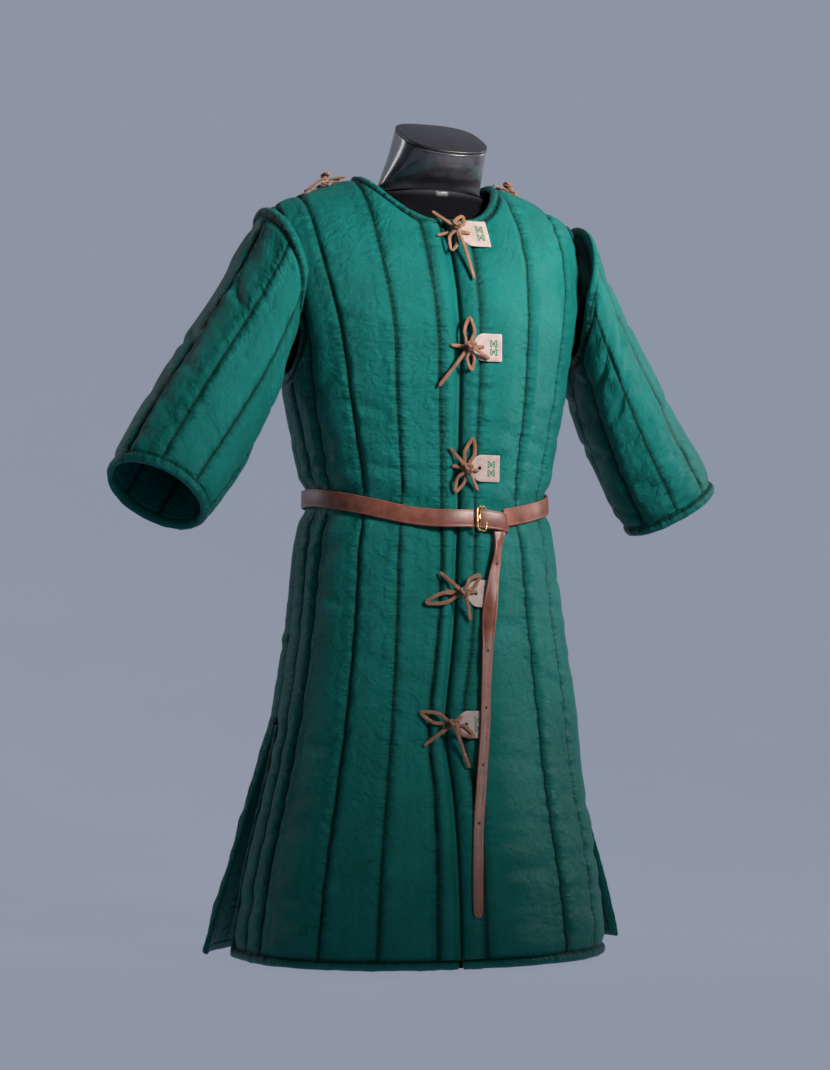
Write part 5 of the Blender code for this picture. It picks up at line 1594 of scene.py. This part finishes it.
def make_form():
    """Limbless torso with a leaning neck, and its flat cap."""
    count = 96
    rings = [section_ring(z, gap * MM, front * MM, count) for z, gap, front in FORM_RINGS]
    for number, row in enumerate(NECK_RINGS):
        rings.append(neck_ring(row, number / (len(NECK_RINGS) - 1), count))
    tilt = math.radians(NECK_RINGS[-1][4])
    normal = Vector((0, -math.sin(tilt), math.cos(tilt)))
    middle = Vector((0, NECK_RINGS[-1][3], NECK_RINGS[-1][0]))
    top = rings[-1]
    fine = []
    for r in range(len(rings) - 1):
        steps = 6 if r >= len(FORM_RINGS) - 2 else 3
        for m in range(steps):
            t = m / steps
            a, b = rings[max(r - 1, 0)], rings[r]
            c, d = rings[r + 1], rings[min(r + 2, len(rings) - 1)]
            ring = []
            for k in range(count):
                straight = b[k].lerp(c[k], t)
                bend = 0.75 if r >= len(FORM_RINGS) else 0.0
                ring.append(straight.lerp(curve(a[k], b[k], c[k], d[k], t), bend))
            fine.append(ring)
    rim = [middle + (p - middle) * 0.992 for p in top]
    fine += [[p - normal * 0.0012 for p in top], [p - normal * 0.0004 for p in rim]]
    verts = [p for ring in fine for p in ring]
    faces = skin(count, len(fine))
    torso = make_object("smooth_form", verts, faces, FORM, sharp=60)
    finish_piece(torso, "form_gloss", "form_torso")
    verts = []
    for share, rise in ((0.992, 0.0002), (1.0, 0.0008), (1.0, 0.0026), (0.994, 0.0034), (0.97, 0.0037)):
        verts += [middle + (p - middle) * share + normal * rise for p in top]
    cap = make_object("form_cap", verts, skin(count, 5), CAP, sharp=60)
    finish_piece(cap, "form_cap", "neck_cap")


def keep_cad_parts():
    """Give the pole and base the form's own finish."""
    for obj in bpy.data.objects:
        if obj.name in ("form_pole", "form_base"):
            for entry in obj.material_slots:
                entry.material = FORM


# Studio

def area_light(name, place, aim, size, watts, colour, spread):
    """A soft panel light aimed at a point, its light fanning out over a spread in degrees."""
    data = bpy.data.lights.new(name, "AREA")
    data.shape = "RECTANGLE"
    data.size, data.size_y = size
    data.energy = watts
    data.color = colour
    data.spread = math.radians(spread)
    obj = bpy.data.objects.new(name, data)
    obj.location = place
    obj.rotation_euler = (Vector(aim) - Vector(place)).to_track_quat("-Z", "Y").to_euler()
    bpy.context.scene.collection.objects.link(obj)


def make_studio():
    """A seamless pale sweep, soft lights and a faint even glow."""
    profile = [(-8.0, 0.0), (0.6, 0.0)]
    profile += [(0.6 + 4.6 * math.sin(math.pi / 2 * k / 40), 4.2 - 4.2 * math.cos(math.pi / 2 * k / 40))
                for k in range(1, 41)]
    profile.append((5.2, 10.0))
    turn = math.radians(CAMERA_TURN)
    ahead, aside = Vector((math.sin(turn), math.cos(turn), 0)), Vector((math.cos(turn), -math.sin(turn), 0))
    verts, faces = [], []
    for d, h in profile:
        for s in (-9.0, 9.0):
            verts.append(ahead * d + aside * s + Vector((0, 0, h)))
    for k in range(len(profile) - 1):
        faces.append([2 * k, 2 * k + 1, 2 * k + 3, 2 * k + 2])
    sweep_obj = make_object("studio_sweep", verts, faces, STUDIO, lift=False)

    def stand(far, wide, high):
        return ahead * far + aside * wide + Vector((0, 0, high))

    middle = (0.0, 0.0, 0.62)
    area_light("key", stand(-1.60, 1.70, 1.65), (0.07, 0.0, 1.03), (0.6, 0.7), KEY_WATTS, (1.0, 0.985, 0.96),
               43.0)
    area_light("fill", stand(-2.6, -1.6, 1.4), (0.0, 0.0, 0.75), (1.4, 1.6), FILL_WATTS, (0.94, 0.97, 1.0),
               100.0)
    area_light("rim_left", stand(0.9, -1.6, 1.3), middle, (0.3, 1.4), RIM_LEFT_WATTS, (0.95, 0.98, 1.0),
               120.0)
    area_light("rim_right", stand(0.8, 1.7, 1.3), middle, (0.3, 1.4), RIM_RIGHT_WATTS, (1.0, 0.98, 0.95),
               120.0)
    world = bpy.data.worlds.new("studio_air")
    world.use_nodes = True
    back = world.node_tree.nodes["Background"]
    back.inputs["Color"].default_value = (0.62, 0.68, 0.80, 1.0)
    back.inputs["Strength"].default_value = 0.02
    bpy.context.scene.world = world
    bpy.context.scene.view_settings.view_transform = "Standard"


make_camera()
make_ties()
make_body()
make_sleeve("right")
make_sleeve("left")
for tie_label, tie_height, *_ in TIES:
    make_tab(tie_label, tie_height)
make_shoulder_strap("right", -1)
make_shoulder_strap("left", 1)
make_belt()
make_form()
keep_cad_parts()
make_studio()
